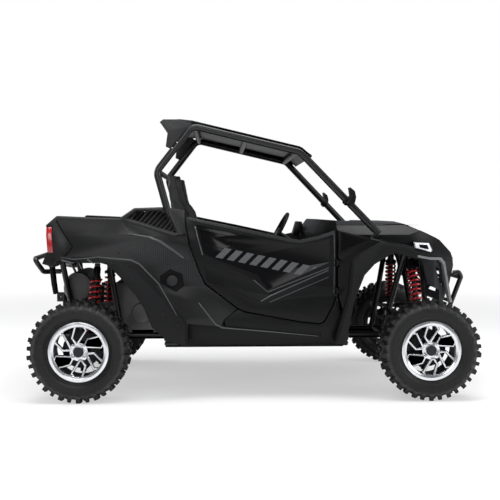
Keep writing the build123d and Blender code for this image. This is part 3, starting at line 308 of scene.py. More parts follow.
finishes = {
    "body": mouldedPlastic("bodyPlastic", (0.0038, 0.004, 0.0044), 0.0003, 0.36),
    "bodySmooth": mouldedPlastic("bodySmooth", (0.004, 0.0042, 0.0045), 0.00015, 0.3),
    # pit: near black, painted shade in the fuel pocket recess and behind the intake opening
    "pit": mouldedPlastic("pitBlack", (0.0012, 0.0012, 0.0013), 0.0002, 0.5, 0.12),
    "grey": mouldedPlastic("greyPlastic", (0.021, 0.022, 0.0235), 0.0003, 0.42),
    "roof": mouldedPlastic("roofPlastic", (0.017, 0.0175, 0.0185), 0.0004, 0.4, 0.35),
    "silverLip": mouldedPlastic("silverLip", (0.17, 0.174, 0.18), 0.0002, 0.3, 0.4),
    "gloss": glossPanel("glossBlack", (0.0022, 0.0022, 0.0025)),
    "cage": powderCoat("cageCoat", (0.006, 0.0062, 0.0066)),
    "frame": powderCoat("frameCoat", (0.007, 0.007, 0.0075)),
    "alloy": machinedAlloy("machinedAlloy"),
    "cast": castAlloy("castAlloy", (0.13, 0.13, 0.134)),
    "darkCast": castAlloy("darkCast", (0.024, 0.024, 0.025), 0.42),
    "exhaust": castAlloy("exhaustSteel", (0.15, 0.148, 0.146), 0.4),
    "tyre": tyreRubber("tyreRubber"),
    "seat": wovenCover("seatCover", (0.01, 0.01, 0.011)),
    "spring": wetPaint("springRed", (0.5, 0.006, 0.012)),
    "bolt": brightMetal("boltSteel", (0.6, 0.6, 0.62), 0.2),
    "chrome": brightMetal("chrome"),
    "lens": lampGlass("clearLens", (0.82, 0.84, 0.87), 0.35),
    "redLens": lampGlass("redLens", (0.34, 0.006, 0.01), 0.06),
    # slash: the printed door marks, and also the painted highlight glints on the flares; edge: painted highlight
    # bands along creases and edges
    "slash": mouldedPlastic("slashGrey", (0.085, 0.088, 0.092), 0.0001, 0.35),
    "edge": mouldedPlastic("edgeLight", (0.05, 0.0515, 0.055), 0.0001, 0.26, 0.5),
    "flare": mouldedPlastic("flarePlastic", (0.0075, 0.0077, 0.0082), 0.0007, 0.46),
    "ribbed": ribbedPlastic("ribbedRail", (0.011, 0.0115, 0.012)),
    "quarter": dottedPlastic("quarterPlastic", (0.0042, 0.0044, 0.0048)),
}
print("finishes made:", len(finishes))

nodeFinish = {
    "frame": "frame", "front_tower": "frame", "rear_tower": "frame", "hitch_receiver": "frame",
    "cage_posts": "frame", "skid_plate": "darkCast", "cabin_tub": "body",
    "cage_left": "cage", "cage_right": "cage", "cage_cross": "cage", "roof": "roof", "mirrors": "body",
    "hood": "body", "fascia": "grey", "headlights": "gloss", "front_fenders": "body", "rockers": "body",
    "rear_quarters": "quarter", "fuel_cap": "grey", "cargo_bed": "body", "tail_panel": "body",
    "taillights": "redLens", "dashboard": "body", "instrument_pod": "bodySmooth", "seat_left": "seat",
    "seat_right": "seat", "engine": "cast", "muffler": "exhaust", "front_bumper": "cage",
    "rear_bumper": "cage", "front_arms": "frame", "rear_arms": "frame", "rear_knuckles": "darkCast",
    "front_shocks": "spring", "rear_shocks": "spring", "half_shafts": "darkCast",
    "front_gearcase": "cast", "rack_housing": "cast", "tie_rods": "darkCast", "door_left": "body",
    "door_right": "body", "knuckle_left": "darkCast", "knuckle_right": "darkCast", "steering_wheel": "bodySmooth",
}
for axle in ("front", "rear"):
    for side in ("left", "right"):
        nodeFinish[f"tyre_{axle}_{side}"] = "tyre"
        nodeFinish[f"rim_{axle}_{side}"] = "alloy"
for nodeName, finishName in nodeFinish.items():
    node = nodes[nodeName]
    for index in range(max(1, len(node.material_slots))):
        if index < len(node.material_slots):
            node.material_slots[index].material = finishes[finishName]
        else:
            node.data.materials.append(finishes[finishName])

# Shared measures: body skin half widths at heights, outlines in side view (X, Z), all in metres

skinLine = [(0.636, 0.338), (0.684, 0.4), (0.704, 0.54), (0.69, 0.745), (0.698, 0.905), (0.704, 1.08), (0.612, 1.275)]
axleHeight = 0.33
wheels = {"front": (1.145, 0.7), "rear": (-1.145, 0.68)}
bodyOf = {"door_left": "left_door", "door_right": "right_door", "knuckle_left": "left_knuckle",
          "knuckle_right": "right_knuckle", "steering_wheel": "hand_wheel", "tie_rods": "rack"}
for axle in ("front", "rear"):
    for side in ("left", "right"):
        bodyOf[f"tyre_{axle}_{side}"] = bodyOf[f"rim_{axle}_{side}"] = f"{axle}_{side}_wheel"


def skinReach(x, z):
    # Half width of the body's skin at a height
    for (lowReach, low), (highReach, high) in zip(skinLine, skinLine[1:]):
        if z <= high:
            return lowReach + (highReach - lowReach) * (z - low) / (high - low)
    return skinLine[-1][0]


def metres(points):
    return [tuple(value / 1000 for value in point) for point in points]


def inside(outline, x, z):
    # True where a point lies in an outline
    found = False
    for (ax, az), (bx, bz) in zip(outline, outline[1:] + outline[:1]):
        if (az > z) != (bz > z) and x < (bx - ax) * (z - az) / (bz - az) + ax:
            found = not found
    return found


# Modelling helpers

def clearSelection():
    for item in bpy.context.selected_objects:
        item.select_set(False)
    bpy.context.view_layer.objects.active = None


def primitive(add, name, **settings):
    clearSelection()
    add(**settings)
    piece = bpy.context.active_object
    piece.name = name
    piece.data.name = name
    return piece


def select(piece):
    clearSelection()
    piece.select_set(True)
    bpy.context.view_layer.objects.active = piece


def editing(piece):
    # Edit mode with the whole piece selected
    select(piece)
    bpy.ops.object.mode_set(mode="EDIT")
    bpy.ops.mesh.select_all(action="SELECT")


def settle(piece):
    # The object's place goes into its mesh
    piece.data.transform(piece.matrix_world)
    piece.matrix_world = Matrix.Identity(4)


def applied(piece, kind, **settings):
    select(piece)
    modifier = piece.modifiers.new(kind.lower(), kind)
    for key, value in settings.items():
        setattr(modifier, key, value)
    bpy.ops.object.modifier_apply(modifier=modifier.name)


def rounded(piece, width, segments=2, angle=30):
    applied(piece, "BEVEL", width=width, segments=segments, limit_method="ANGLE", angle_limit=math.radians(angle),
            use_clamp_overlap=False, harden_normals=False)


def smoothed(piece, angle=32):
    select(piece)
    bpy.ops.object.shade_smooth_by_angle(angle=math.radians(angle))


def dressed(piece, finish, body):
    piece.data.materials.clear()
    piece.data.materials.append(finishes[finish])
    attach(piece, body)
    return piece


def mirrored(piece, name):
    # The same piece on the other side of the vehicle
    mesh = piece.data.copy()
    mesh.name = name
    for vertex in mesh.vertices:
        vertex.co.y = -vertex.co.y
    mesh.flip_normals()
    twin = bpy.data.objects.new(name, mesh)
    bpy.context.scene.collection.objects.link(twin)
    return twin


def ring(name, points):
    # A closed loop of edges through points, from a circle primitive
    piece = primitive(bpy.ops.mesh.primitive_circle_add, name, vertices=len(points), radius=1.0)
    for vertex, point in zip(piece.data.vertices, points):
        vertex.co = point
    return piece


def lathe(name, profile, centre, steps=96):
    # A closed profile of (radius, y) turned round an axle that lies along Y
    piece = ring(name, [(0.0, y, radius) for radius, y in profile])
    applied(piece, "SCREW", axis="Y", angle=math.tau, steps=steps, render_steps=steps, use_merge_vertices=True,
            merge_threshold=0.00001)
    editing(piece)
    bpy.ops.mesh.normals_make_consistent(inside=False)
    bpy.ops.object.mode_set(mode="OBJECT")
    piece.data.transform(Matrix.Translation(centre))
    return piece


def sidePlate(name, outline, low, high, bevel=0.0012, reach=skinReach, fold=None):
    # A plate that lies on a surface of the left side: an outline in side view, from low to high off the surface
    piece = ring(name, [(x, 0.0, z) for x, z in outline])
    editing(piece)
    bpy.ops.mesh.edge_face_add()
    for _, height in skinLine[1:-1]:
        bpy.ops.mesh.select_all(action="SELECT")
        bpy.ops.mesh.bisect(plane_co=(0, 0, height), plane_no=(0, 0, 1))
    if fold is not None:
        bpy.ops.mesh.select_all(action="SELECT")
        bpy.ops.mesh.bisect(plane_co=(fold, 0, 0), plane_no=(1, 0, 0))
    bpy.ops.object.mode_set(mode="OBJECT")
    if piece.data.polygons[0].normal.y < 0:
        piece.data.flip_normals()
    for vertex in piece.data.vertices:
        vertex.co.y = reach(vertex.co.x, vertex.co.z) + high
    applied(piece, "SOLIDIFY", thickness=high - low, offset=-1.0, use_even_offset=True)
    if bevel:
        rounded(piece, bevel, 2, 40)
    smoothed(piece)
    return piece


def bothSides(name, finish, plate, bodies=("chassis", "chassis")):
    # The left plate and its twin on the right, each on its body
    dressed(mirrored(plate, name + "Right"), finish, bodies[1])
    dressed(plate, finish, bodies[0])


def band(route, width):
    # The outline of a strip of even width, or of widths given along the route
    widths = width if hasattr(width, "__len__") else [width] * len(route)
    sides = []
    for index, (x, z) in enumerate(route):
        before = Vector(route[max(index - 1, 0)])
        after = Vector(route[min(index + 1, len(route) - 1)])
        along = (after - before).normalized()
        across = Vector((-along.y, along.x)) * widths[index] / 2
        sides.append(((x + across.x, z + across.y), (x - across.x, z - across.y)))
    return [left for left, right in sides] + [right for left, right in reversed(sides)]


def tube(name, points, radius, finish, body, smooth=True):
    # A round bar along points
    curve = bpy.data.curves.new(name + "Line", "CURVE")
    curve.dimensions = "3D"
    curve.bevel_depth = radius
    curve.bevel_resolution = 5
    curve.use_fill_caps = True
    spline = curve.splines.new("NURBS" if smooth else "POLY")
    spline.points.add(len(points) - 1)
    for point, place in zip(spline.points, points):
        point.co = (*place, 1.0)
    if smooth:
        spline.order_u = 3
        spline.use_endpoint_u = True
        spline.resolution_u = 6
    holder = bpy.data.objects.new(name, curve)
    bpy.context.scene.collection.objects.link(holder)
    select(holder)
    bpy.ops.object.convert(target="MESH")
    holder.data.name = name
    smoothed(holder, 40)
    return dressed(holder, finish, body)


def gathered(name, template, places):
    # Copies of a template, each at its place, joined
    copies = []
    for place in places:
        mesh = template.data.copy()
        mesh.transform(place)
        copy = bpy.data.objects.new(name, mesh)
        bpy.context.scene.collection.objects.link(copy)
        copies.append(copy)
    clearSelection()
    for copy in copies:
        copy.select_set(True)
    bpy.context.view_layer.objects.active = copies[0]
    bpy.ops.object.join()
    copies[0].name = copies[0].data.name = name
    return copies[0]


def boltTemplate(name, radius, height):
    # A round head with a socket, standing along Z
    piece = primitive(bpy.ops.mesh.primitive_cylinder_add, name, vertices=20, radius=radius, depth=height)
    settle(piece)
    for face in piece.data.polygons:
        face.select = face.normal.z > 0.9
    for edge in piece.data.edges:
        edge.select = False
    select(piece)
    bpy.ops.object.mode_set(mode="EDIT")
    bpy.ops.mesh.select_mode(type="FACE")
    bpy.ops.mesh.inset(thickness=radius * 0.42, depth=0.0)
    bpy.ops.mesh.inset(thickness=radius * 0.06, depth=-height * 0.5)
    bpy.ops.mesh.select_mode(type="VERT")
    bpy.ops.object.mode_set(mode="OBJECT")
    rounded(piece, height * 0.16, 2, 40)
    smoothed(piece)
    return piece


def boltSet(name, places, radius, height, finish, body="chassis"):
    # Bolt heads at places, each given with the direction it faces
    template = boltTemplate(name + "Head", radius, height)
    turns = []
    for place, facing in places:
        turn = Vector(facing).to_track_quat("Z", "Y").to_matrix().to_4x4()
        turns.append(Matrix.Translation(place) @ turn)
    piece = gathered(name, template, turns)
    bpy.data.objects.remove(template)
    smoothed(piece)
    return dressed(piece, finish, body)


def softened(nodeName, width, rules=(), angle=28, segments=2):
    # A copy of a node with merged faces and rounded edges, painted by region, which stands for the node
    mesh = nodes[nodeName].data.copy()
    mesh.name = nodeName + "Soft"
    piece = bpy.data.objects.new(nodeName + "Soft", mesh)
    bpy.context.scene.collection.objects.link(piece)
    piece.matrix_world = nodes[nodeName].matrix_world
    settle(piece)
    select(piece)
    bpy.ops.mesh.customdata_custom_splitnormals_clear()
    editing(piece)
    bpy.ops.mesh.remove_doubles(threshold=0.00002)
    bpy.ops.mesh.dissolve_limited(angle_limit=math.radians(0.7))
    bpy.ops.object.mode_set(mode="OBJECT")
    if width:
        rounded(piece, width, segments, angle)
    smoothed(piece, 30)
    mesh.materials.clear()
    mesh.materials.append(finishes[nodeFinish[nodeName]])
    for index, (finish, test) in enumerate(rules, 1):
        mesh.materials.append(finishes[finish])
        for face in mesh.polygons:
            if test(face.center, face.normal):
                face.material_index = index
    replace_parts(piece, nodeName)
    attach(piece, bodyOf.get(nodeName, "chassis"))
    return piece


# Body panels: rounded copies of the nodes, with their gloss and grey regions

doorInset = metres([(-387, 1150), (200, 1027), (292, 1019), (489, 1056), (490, 904), (82, 722), (16, 821),
                    (-218, 907), (-336, 959), (-361, 1051)])
hoodMiddle = metres([(768, -482), (1047, -470), (1238, -396), (1404, -207), (1404, 207), (1238, 396), (1047, 470),
                     (768, 482)])
intakeOutline = metres([(-790, 1247), (-626, 1251), (-561, 1214), (-497, 1079), (-855, 1189)])
fuelPocket = metres([(-560, 864), (-476, 831), (-464, 748), (-518, 708), (-626, 768), (-626, 818)])
fenderWindow = metres([(558, 1100), (741, 1051), (558, 969)])


def recessed(centre, depth):
    return skinReach(centre.x, centre.z) - abs(centre.y) > depth


def doorGloss(centre, normal):
    return inside(doorInset, centre.x, centre.z) and recessed(centre, 0.0035) and abs(centre.y) > 0.66


def onHoodTop(centre, normal):
    return normal.z > 0.3 and inside(hoodMiddle, centre.x, centre.y)


def onIntake(centre, normal):
    return inside(intakeOutline, centre.x, centre.z) and recessed(centre, 0.003)


def inFuelPocket(centre, normal):
    return inside(fuelPocket, centre.x, centre.z) and recessed(centre, 0.003) and abs(centre.y) > 0.5


def onWindow(centre, normal):
    return inside(fenderWindow, centre.x, centre.z) and recessed(centre, 0.003)


def onFrontLip(centre, normal):
    return centre.x > 0.84 and centre.z > 0.93 and 0.6 < abs(centre.y) < 0.69 and normal.z > 0.55


def onFlare(centre, normal):
    return abs(centre.y) > 0.709


def capEnd(centre, normal):
    return abs(centre.y) > 0.23


def rimInside(centre, normal):
    axleX, reach = wheels["front" if centre.x > 0 else "rear"]
    radius = math.hypot(centre.x - axleX, centre.z - axleHeight)
    outward = normal.y if centre.y > 0 else -normal.y
    return abs(centre.y) - reach < 0.05 or outward < 0.25 and radius < 0.157


panels = {
    "door_left": (0.0028, [("gloss", doorGloss)]), "door_right": (0.0028, [("gloss", doorGloss)]),
    "hood": (0.004, [("gloss", onHoodTop)]),
    # The fuel pocket's recessed faces take the pit finish: painted shade in the recess
    "rear_quarters": (0.003, [("bodySmooth", onIntake), ("flare", onFlare), ("pit", inFuelPocket)]),
    "front_fenders": (0.003, [("gloss", onWindow), ("flare", onFlare), ("silverLip", onFrontLip)]),
    "rockers": (0.003, []), "fascia": (0.003, []), "roof": (0.0035, []), "mirrors": (0.005, []),
    "tail_panel": (0.003, []), "taillights": (0.003, []), "cargo_bed": (0.004, []), "dashboard": (0.006, []),
    "instrument_pod": (0.006, []), "cabin_tub": (0.003, []), "muffler": (0.0, [("exhaust", capEnd)]),
    "engine": (0.006, []), "front_gearcase": (0.008, []), "hitch_receiver": (0.0015, []), "fuel_cap": (0.004, []),
    "skid_plate": (0.0008, []), "knuckle_left": (0.002, []), "knuckle_right": (0.002, []),
    "rear_knuckles": (0.002, []), "rack_housing": (0.0015, []),
}
for axle in ("front", "rear"):
    for side in ("left", "right"):
        panels[f"rim_{axle}_{side}"] = (0.0013, [("darkCast", rimInside)])
for nodeName, (width, rules) in panels.items():
    softened(nodeName, width, rules)
print("rounded copies:", len(panels))


# Painted highlight lines along creases, folds, chamfers and edges, painted glints on the flares, printed marks,
# textured strips and a painted shade plate behind the intake

doorBodies = ("left_door", "right_door")
# The edge strips and the two flare glints are painted highlights: light grey bands where light catches the creases,
# folds, chamfers, seams and flare edges
strips = {
    "rearCrease": {"route": metres([(-826, 1094), (-686, 1070), (-616, 1039), (-512, 968), (-470, 934)]),
                   "width": [0.003, 0.012, 0.016, 0.014, 0.01], "finish": "edge"},
    "doorFoldOne": {"route": metres([(-12, 789), (82, 709), (484, 868)]), "width": 0.006, "finish": "edge",
                    "bodies": doorBodies},
    "doorFoldTwo": {"route": metres([(36, 648), (99, 684), (482, 852)]), "width": 0.007, "finish": "edge",
                    "bodies": doorBodies},
    "doorFoldThree": {"route": metres([(94, 642), (482, 806)]), "width": 0.004, "finish": "edge",
                      "bodies": doorBodies},
    "doorInsetEdge": {"route": metres([(-394, 1140), (-372, 1050), (-345, 953)]), "width": 0.007, "finish": "edge",
                      "bodies": doorBodies},
    "doorFrontEdge": {"route": metres([(516, 1100), (520, 904), (518, 700)]), "width": 0.005, "finish": "edge",
                      "bodies": doorBodies},
    "doorTopRail": {"route": metres([(-442, 1190), (-100, 1120), (213, 1052), (292, 1041), (405, 1064), (520, 1101)]),
                    "width": 0.022, "finish": "ribbed", "bodies": doorBodies},
    "lowerCrease": {"route": metres([(-372, 640), (-262, 499), (-217, 474), (100, 446), (418, 414)]),
                    "width": [0.006, 0.008, 0.008, 0.007, 0.004], "finish": "edge"},
    "flareLine": {"route": metres([(-1254, 944), (-1165, 930), (-1010, 944), (-805, 926), (-750, 900), (-626, 772),
                                   (-510, 566)]), "width": [0.002, 0.006, 0.006, 0.009, 0.009, 0.008, 0.004],
                  "finish": "edge", "reach": 0.775},
    "flareGlintOne": {"route": metres([(-1246, 925), (-1168, 906)]), "width": [0.014, 0.004], "finish": "slash",
                      "reach": 0.775},
    "flareGlintTwo": {"route": metres([(-1082, 930), (-1040, 902)]), "width": [0.012, 0.003], "finish": "slash",
                      "reach": 0.775},
    "hoodSeam": {"route": metres([(760, 1059), (900, 1022), (1036, 986)]), "width": 0.006, "finish": "edge"},
}
for name, strip in strips.items():
    depth = 0.0024 if strip["finish"] == "ribbed" else 0.0009
    reach = (lambda x, z, own=strip["reach"]: own) if "reach" in strip else skinReach
    plate = sidePlate(name, band(strip["route"], strip["width"]), -0.001, depth, 0.0004, reach)
    bothSides(name, strip["finish"], plate, strip.get("bodies", ("chassis", "chassis")))

doorMark = {"start": (-0.262, 0.938), "step": (0.0735, -0.0156), "size": (0.046, 0.062), "lean": 0.062, "count": 9,
            "sink": -0.005}
for index in range(doorMark["count"]):
    x = doorMark["start"][0] + doorMark["step"][0] * index
    z = doorMark["start"][1] + doorMark["step"][1] * index
    wide, tall = doorMark["size"]
    lean, sink = doorMark["lean"], doorMark["sink"]
    drop = doorMark["step"][1] / doorMark["step"][0] * wide
    outline = [(x, z), (x + wide, z + drop), (x + wide + lean, z + drop + tall), (x + lean, z + tall)]
    plate = sidePlate(f"doorMark{index}", outline, sink - 0.0005, sink + 0.0006, 0.0)
    bothSides(f"doorMark{index}", "slash", plate, doorBodies)
# A near-black plate behind the intake opening: painted shade for the hollow behind it
backing = sidePlate("intakeBack", metres([(-800, 1232), (-630, 1240), (-566, 1206), (-508, 1090), (-850, 1186)]),
                    -0.034, -0.03, 0.0)
bothSides("intakeBack", "pit", backing)
print("trim laid on the body")

panelBolts = metres([(-1172, 1006), (-1010, 1012), (-885, 967), (-700, 866), (-600, 742), (-520, 640)])
flareBolts = metres([(-1120, 927), (-930, 903), (-795, 800), (-690, 680), (-600, 575), (-505, 500), (600, 560),
                     (640, 800), (700, 900), (790, 960), (930, 1000)])
nutCircle, boltFace = 0.052, 0.7765
for side, sign in (("Left", 1), ("Right", -1)):
    boltSet("panelBolts" + side, [((x, sign * (skinReach(x, z) + 0.0015), z), (0, sign, 0)) for x, z in panelBolts],
            0.008, 0.005, "darkCast")
    boltSet("flareBolts" + side, [((x, sign * boltFace, z), (0, sign, 0)) for x, z in flareBolts], 0.0085, 0.005,
            "darkCast")
    for axle, (axleX, reach) in wheels.items():
        heads = []
        for angle in (45, 135, 225, 315):
            x = axleX - sign * nutCircle * math.cos(math.radians(angle))
            z = axleHeight + nutCircle * math.sin(math.radians(angle))
            heads.append(((x, sign * (reach + 0.091), z), (0, sign, 0)))
        boltSet(f"{axle}Nuts{side}", heads, 0.0115, 0.016, "chrome", f"{axle}_{side.lower()}_wheel")
        cap = lathe(f"{axle}Cap{side}", [(0.0001, sign * 0.08), (0.034, sign * 0.08), (0.034, sign * 0.0915),
                                         (0.031, sign * 0.0945), (0.0001, sign * 0.0945)],
                    (axleX, sign * reach, axleHeight), 48)
        smoothed(cap)
        dressed(cap, "grey", f"{axle}_{side.lower()}_wheel")
print("bolts set")


# Tyres: a turned carcass, and blocks round its tread and shoulders

def treadBlock(name, corners, bevel):
    # Eight corners (across, along the axle, radius): the bottom four, then the top four
    piece = primitive(bpy.ops.mesh.primitive_cube_add, name, size=1.0)
    order = sorted(range(8), key=lambda index: (piece.data.vertices[index].co.z, piece.data.vertices[index].co.y,
                                                piece.data.vertices[index].co.x))
    for index, corner in zip(order, corners):
        piece.data.vertices[index].co = corner
    rounded(piece, bevel, 2, 25)
    smoothed(piece, 30)
    return piece


def tyre(axle, side, sign, width):
    half = width / 2
    axleX, reach = wheels[axle]
    profile = [(0.1792, 0.0878), (0.195, 0.0878), (0.2, 0.0935), (0.207, 0.0965), (0.2095, 0.1), (0.212, 0.0995),
               (0.224, half - 0.0085), (0.227, half - 0.0055), (0.23, half - 0.0065), (0.246, half - 0.0015),
               (0.262, half - 0.001), (0.2645, half - 0.0022), (0.278, half - 0.005), (0.293, half - 0.013),
               (0.306, half - 0.03), (0.312, half - 0.052), (0.314, half * 0.3)]
    whole = profile + [(radius, -y) for radius, y in reversed(profile)]
    centre = (axleX, sign * reach, axleHeight)
    body = f"{axle}_{side}_wheel"
    carcass = lathe(f"{axle}Carcass{side}", whole, centre, 102)
    smoothed(carcass, 35)
    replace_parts(dressed(carcass, "tyre", body), f"tyre_{axle}_{side}")
    inner, outer = half - 0.066, half - 0.002
    longBlock = treadBlock("longBlock", [
        (-0.0045, inner, 0.307), (0.0225, inner, 0.307), (-0.017, outer, 0.281), (0.017, outer, 0.281),
        (-0.0025, inner + 0.002, 0.3295), (0.0205, inner + 0.002, 0.3295), (-0.0145, outer - 0.0095, 0.3275),
        (0.0145, outer - 0.0095, 0.3275)], 0.0022)
    shortBlock = treadBlock("shortBlock", [
        (-0.0115, half - 0.045, 0.304), (0.0115, half - 0.045, 0.304), (-0.0145, half - 0.004, 0.283),
        (0.0145, half - 0.004, 0.283), (-0.0095, half - 0.043, 0.3285), (0.0095, half - 0.043, 0.3285),
        (-0.012, half - 0.0145, 0.3265), (0.012, half - 0.0145, 0.3265)], 0.0022)
    midBlock = treadBlock("midBlock", [
        (-0.016, -0.036, 0.31), (0.01, -0.036, 0.31), (-0.01, 0.008, 0.31), (0.017, 0.008, 0.31),
        (-0.014, -0.034, 0.33), (0.008, -0.034, 0.33), (-0.008, 0.006, 0.33), (0.015, 0.006, 0.33)], 0.002)
    cleat = treadBlock("cleat", [
        (-0.0085, half - 0.008, 0.262), (0.0085, half - 0.008, 0.262), (-0.0085, half - 0.0005, 0.262),
        (0.0085, half - 0.0005, 0.262), (-0.006, half - 0.018, 0.282), (0.006, half - 0.018, 0.282),
        (-0.006, half - 0.003, 0.279), (0.006, half - 0.003, 0.279)], 0.0014)
    pitch = math.tau / 17
    turned = {longBlock: (0.0, 0.5), shortBlock: (0.5, 0.0), midBlock: (0.25, 0.75), cleat: (0.26, 0.76)}
    flip = Matrix.Rotation(math.pi, 4, "Z")
    for block, (first, second) in turned.items():
        places = []
        for index in range(17):
            for share, turn in ((first, Matrix.Identity(4)), (second, flip)):
                spin = Matrix.Rotation((index + share) * pitch, 4, "Y")
                places.append(Matrix.Translation(centre) @ spin @ turn)
            if block is cleat:
                for share, turn in ((first + 0.5, Matrix.Identity(4)), (second - 0.5, flip)):
                    spin = Matrix.Rotation((index + share) * pitch, 4, "Y")
                    places.append(Matrix.Translation(centre) @ spin @ turn)
        piece = gathered(f"{axle}{block.name.split('.')[0]}{side}", block, places)
        smoothed(piece, 30)
        dressed(piece, "tyre", body)
    for block in turned:
        bpy.data.objects.remove(block)


for side, sign in (("left", 1), ("right", -1)):
    tyre("front", side, sign, 0.228)
    tyre("rear", side, sign, 0.262)
print("tyres built")


# Shocks: damper body, rod, collars and a coil spring each

shocks = {
    "front": {"top": (1.107, 0.345, 0.9137), "foot": (1.132, 0.49, 0.4965), "turns": 9.0},
    "rear": {"top": (-1.08, 0.345, 0.8637), "foot": (-1.12, 0.45, 0.299), "turns": 9.5},
}


def shock(name, spec, sign):
    top = Vector((spec["top"][0], sign * spec["top"][1], spec["top"][2]))
    foot = Vector((spec["foot"][0], sign * spec["foot"][1], spec["foot"][2]))
    along = top - foot
    length = along.length
    turn = along.to_track_quat("Z", "Y").to_matrix().to_4x4()
    place = Matrix.Translation(foot) @ turn
    low, high = (0.2 if name == "rear" else 0.16) * length, 0.82 * length
    coil = []
    steps = int(spec["turns"] * 12)
    for index in range(steps + 1):
        angle = math.tau * index / 12
        ease = low + (high - low) * index / steps
        coil.append(tuple(place @ Vector((0.0365 * math.cos(angle), 0.0365 * math.sin(angle), ease))))
    side = "Left" if sign > 0 else "Right"
    tube(f"{name}Spring{side}", coil, 0.0075, "spring", "chassis")
    profile = [(0.0001, 0.012), (0.009, 0.012), (0.009, low - 0.014), (0.041, low - 0.012), (0.044, low - 0.008),
               (0.044, low - 0.004), (0.02, low), (0.019, high - 0.03), (0.026, high), (0.043, high + 0.004),
               (0.043, high + 0.012), (0.027, high + 0.016), (0.0265, high + 0.03), (0.025, high + 0.032),
               (0.025, length - 0.018), (0.018, length - 0.006), (0.0001, length - 0.006)]
    damper = lathe(f"{name}Damper{side}", profile, (0, 0, 0), 32)
    damper.data.transform(place @ Matrix.Rotation(math.pi / 2, 4, "X"))
    smoothed(damper)
    dressed(damper, "darkCast", "chassis")
    for index, end in enumerate((top, foot)):
        eye = primitive(bpy.ops.mesh.primitive_cylinder_add, f"{name}Eye{index}{side}", vertices=28, radius=0.0155,
                        depth=0.036, location=tuple(end), rotation=(0, math.pi / 2, 0))
        settle(eye)
        rounded(eye, 0.002, 2, 40)
        smoothed(eye)
        dressed(eye, "cast", "chassis")
    return damper


for name, spec in shocks.items():
    damper = shock(name, spec, 1)
    shock(name, spec, -1)
    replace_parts(damper, f"{name}_shocks")
print("shocks built")


# Nose: lamps and lip bars

def lampReach(x, z):
    return 0.6 if x < 1.15 else 0.6 - (x - 1.15) * 0.7333


lampOutline = metres([(1066, 1032), (1174, 1027), (1204, 976), (1189, 965), (1075, 994)])
lampMiddle = sum((Vector(point) for point in lampOutline), Vector((0, 0))) / len(lampOutline)


def scaled(outline, share):
    return [tuple(lampMiddle + (Vector(point) - lampMiddle) * share) for point in outline]


lampLayers = {"lampBezel": (1.02, -0.004, 0.0012, "chrome"), "lampGlass": (0.9, -0.003, 0.0024, "lens"),
              "lampPupil": (0.52, -0.002, 0.0036, "gloss")}
for name, (share, low, high, finish) in lampLayers.items():
    bothSides(name, finish, sidePlate(name, scaled(lampOutline, share), low, high, 0.0006, lampReach, 1.15))
lipRoute = metres([(1296, 912), (1330, 880), (1352, 787), (1391, 627), (1402, 596)])
bothSides("noseBar", "silverLip", sidePlate("noseBar", band(lipRoute, 0.022), -0.012, 0.012, 0.005,
                                            lambda x, z: 0.42 - (x - 1.29) * 0.9))
bothSides("lowerLip", "silverLip", sidePlate("lowerLip", band(metres([(1052, 947), (1130, 932), (1206, 929)]), 0.016),
                                             -0.012, 0.001, 0.003, lambda x, z: 0.775))
print("nose dressed")


# Cage: bolts at the joints

cageBolts = [((x, sign * 0.612, z), (0, sign, 0)) for sign in (1, -1)
             for x, z in metres([(-512, 1690), (-545, 1655), (-640, 1508), (-628, 1470), (706, 1210), (716, 1190)])]
boltSet("cageBolts", cageBolts, 0.008, 0.006, "bolt")


# Seats: cloth blown up a little from the plain solids, then sewn channels

def seatChannels(piece):
    # Sewn lines across the back and the cushion press in
    for vertex in piece.data.vertices:
        x, y, z = vertex.co
        middle = abs(abs(y) - 0.338)
        if middle < 0.135:
            line = math.cos(z * 62.8) if z > 1.0 else math.cos(x * 62.8)
            press = max(line - 0.72, 0.0) / 0.28 * 0.006 * min(1.0, (0.135 - middle) / 0.02)
            vertex.co -= vertex.normal * press
        seam = abs(middle - 0.14)
        if seam < 0.008:
            vertex.co -= vertex.normal * 0.006 * (1 - seam / 0.008)


def paddedSeat():
    # The left seat's cover, let out by pressure; the right one is its twin
    mesh = nodes["seat_left"].data.copy()
    mesh.name = "coverLeft"
    piece = bpy.data.objects.new("coverLeft", mesh)
    bpy.context.scene.collection.objects.link(piece)
    settle(piece)
    applied(piece, "REMESH", mode="VOXEL", voxel_size=0.009)
    for vertex in mesh.vertices:
        vertex.co -= vertex.normal * 0.012
    rest = [vertex.co.copy() for vertex in mesh.vertices]
    select(piece)
    cloth = piece.modifiers.new("cloth", "CLOTH")
    cloth.settings.use_pressure = True
    cloth.settings.uniform_pressure_force = 4.0
    cloth.settings.quality = 4
    bpy.context.scene.use_gravity = False
    for step in range(1, 21):
        bpy.context.scene.frame_set(step)
    bpy.ops.object.modifier_apply(modifier=cloth.name)
    bpy.context.scene.frame_set(1)
    for vertex, start in zip(piece.data.vertices, rest):
        move = vertex.co - start
        if move.length > 0.022:
            vertex.co = start + move.normalized() * 0.022
    applied(piece, "SMOOTH", factor=0.5, iterations=6)
    seatChannels(piece)
    applied(piece, "SUBSURF", levels=1, render_levels=1)
    select(piece)
    bpy.ops.object.shade_smooth()
    for side, cover in (("right", mirrored(piece, "coverRight")), ("left", piece)):
        dressed(cover, "seat", "chassis")
        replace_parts(cover, "seat_" + side)


paddedSeat()
print("seats padded")



# Camera, floor and lamps

camera = {
    "place": (-0.226, -6.122, 1.233), "turn": 0.0351, "dip": 0.0456, "focus": 830.4, "frame": 500.0, "sensor": 36.0,
}
lensData = bpy.data.cameras.new("photoCamera")
photoCamera = bpy.data.objects.new("photoCamera", lensData)
bpy.context.scene.collection.objects.link(photoCamera)
lensData.sensor_width = camera["sensor"]
lensData.lens = camera["sensor"] * camera["focus"] / camera["frame"]
photoCamera.location = camera["place"]
photoCamera.rotation_euler = (math.pi / 2 - camera["dip"], 0.0, -camera["turn"])
bpy.context.scene.camera = photoCamera

studio = {"floorReach": 14.0, "floorTone": 0.86, "fadeStart": 3.0, "fadeEnd": 7.5, "glow": 0.5}


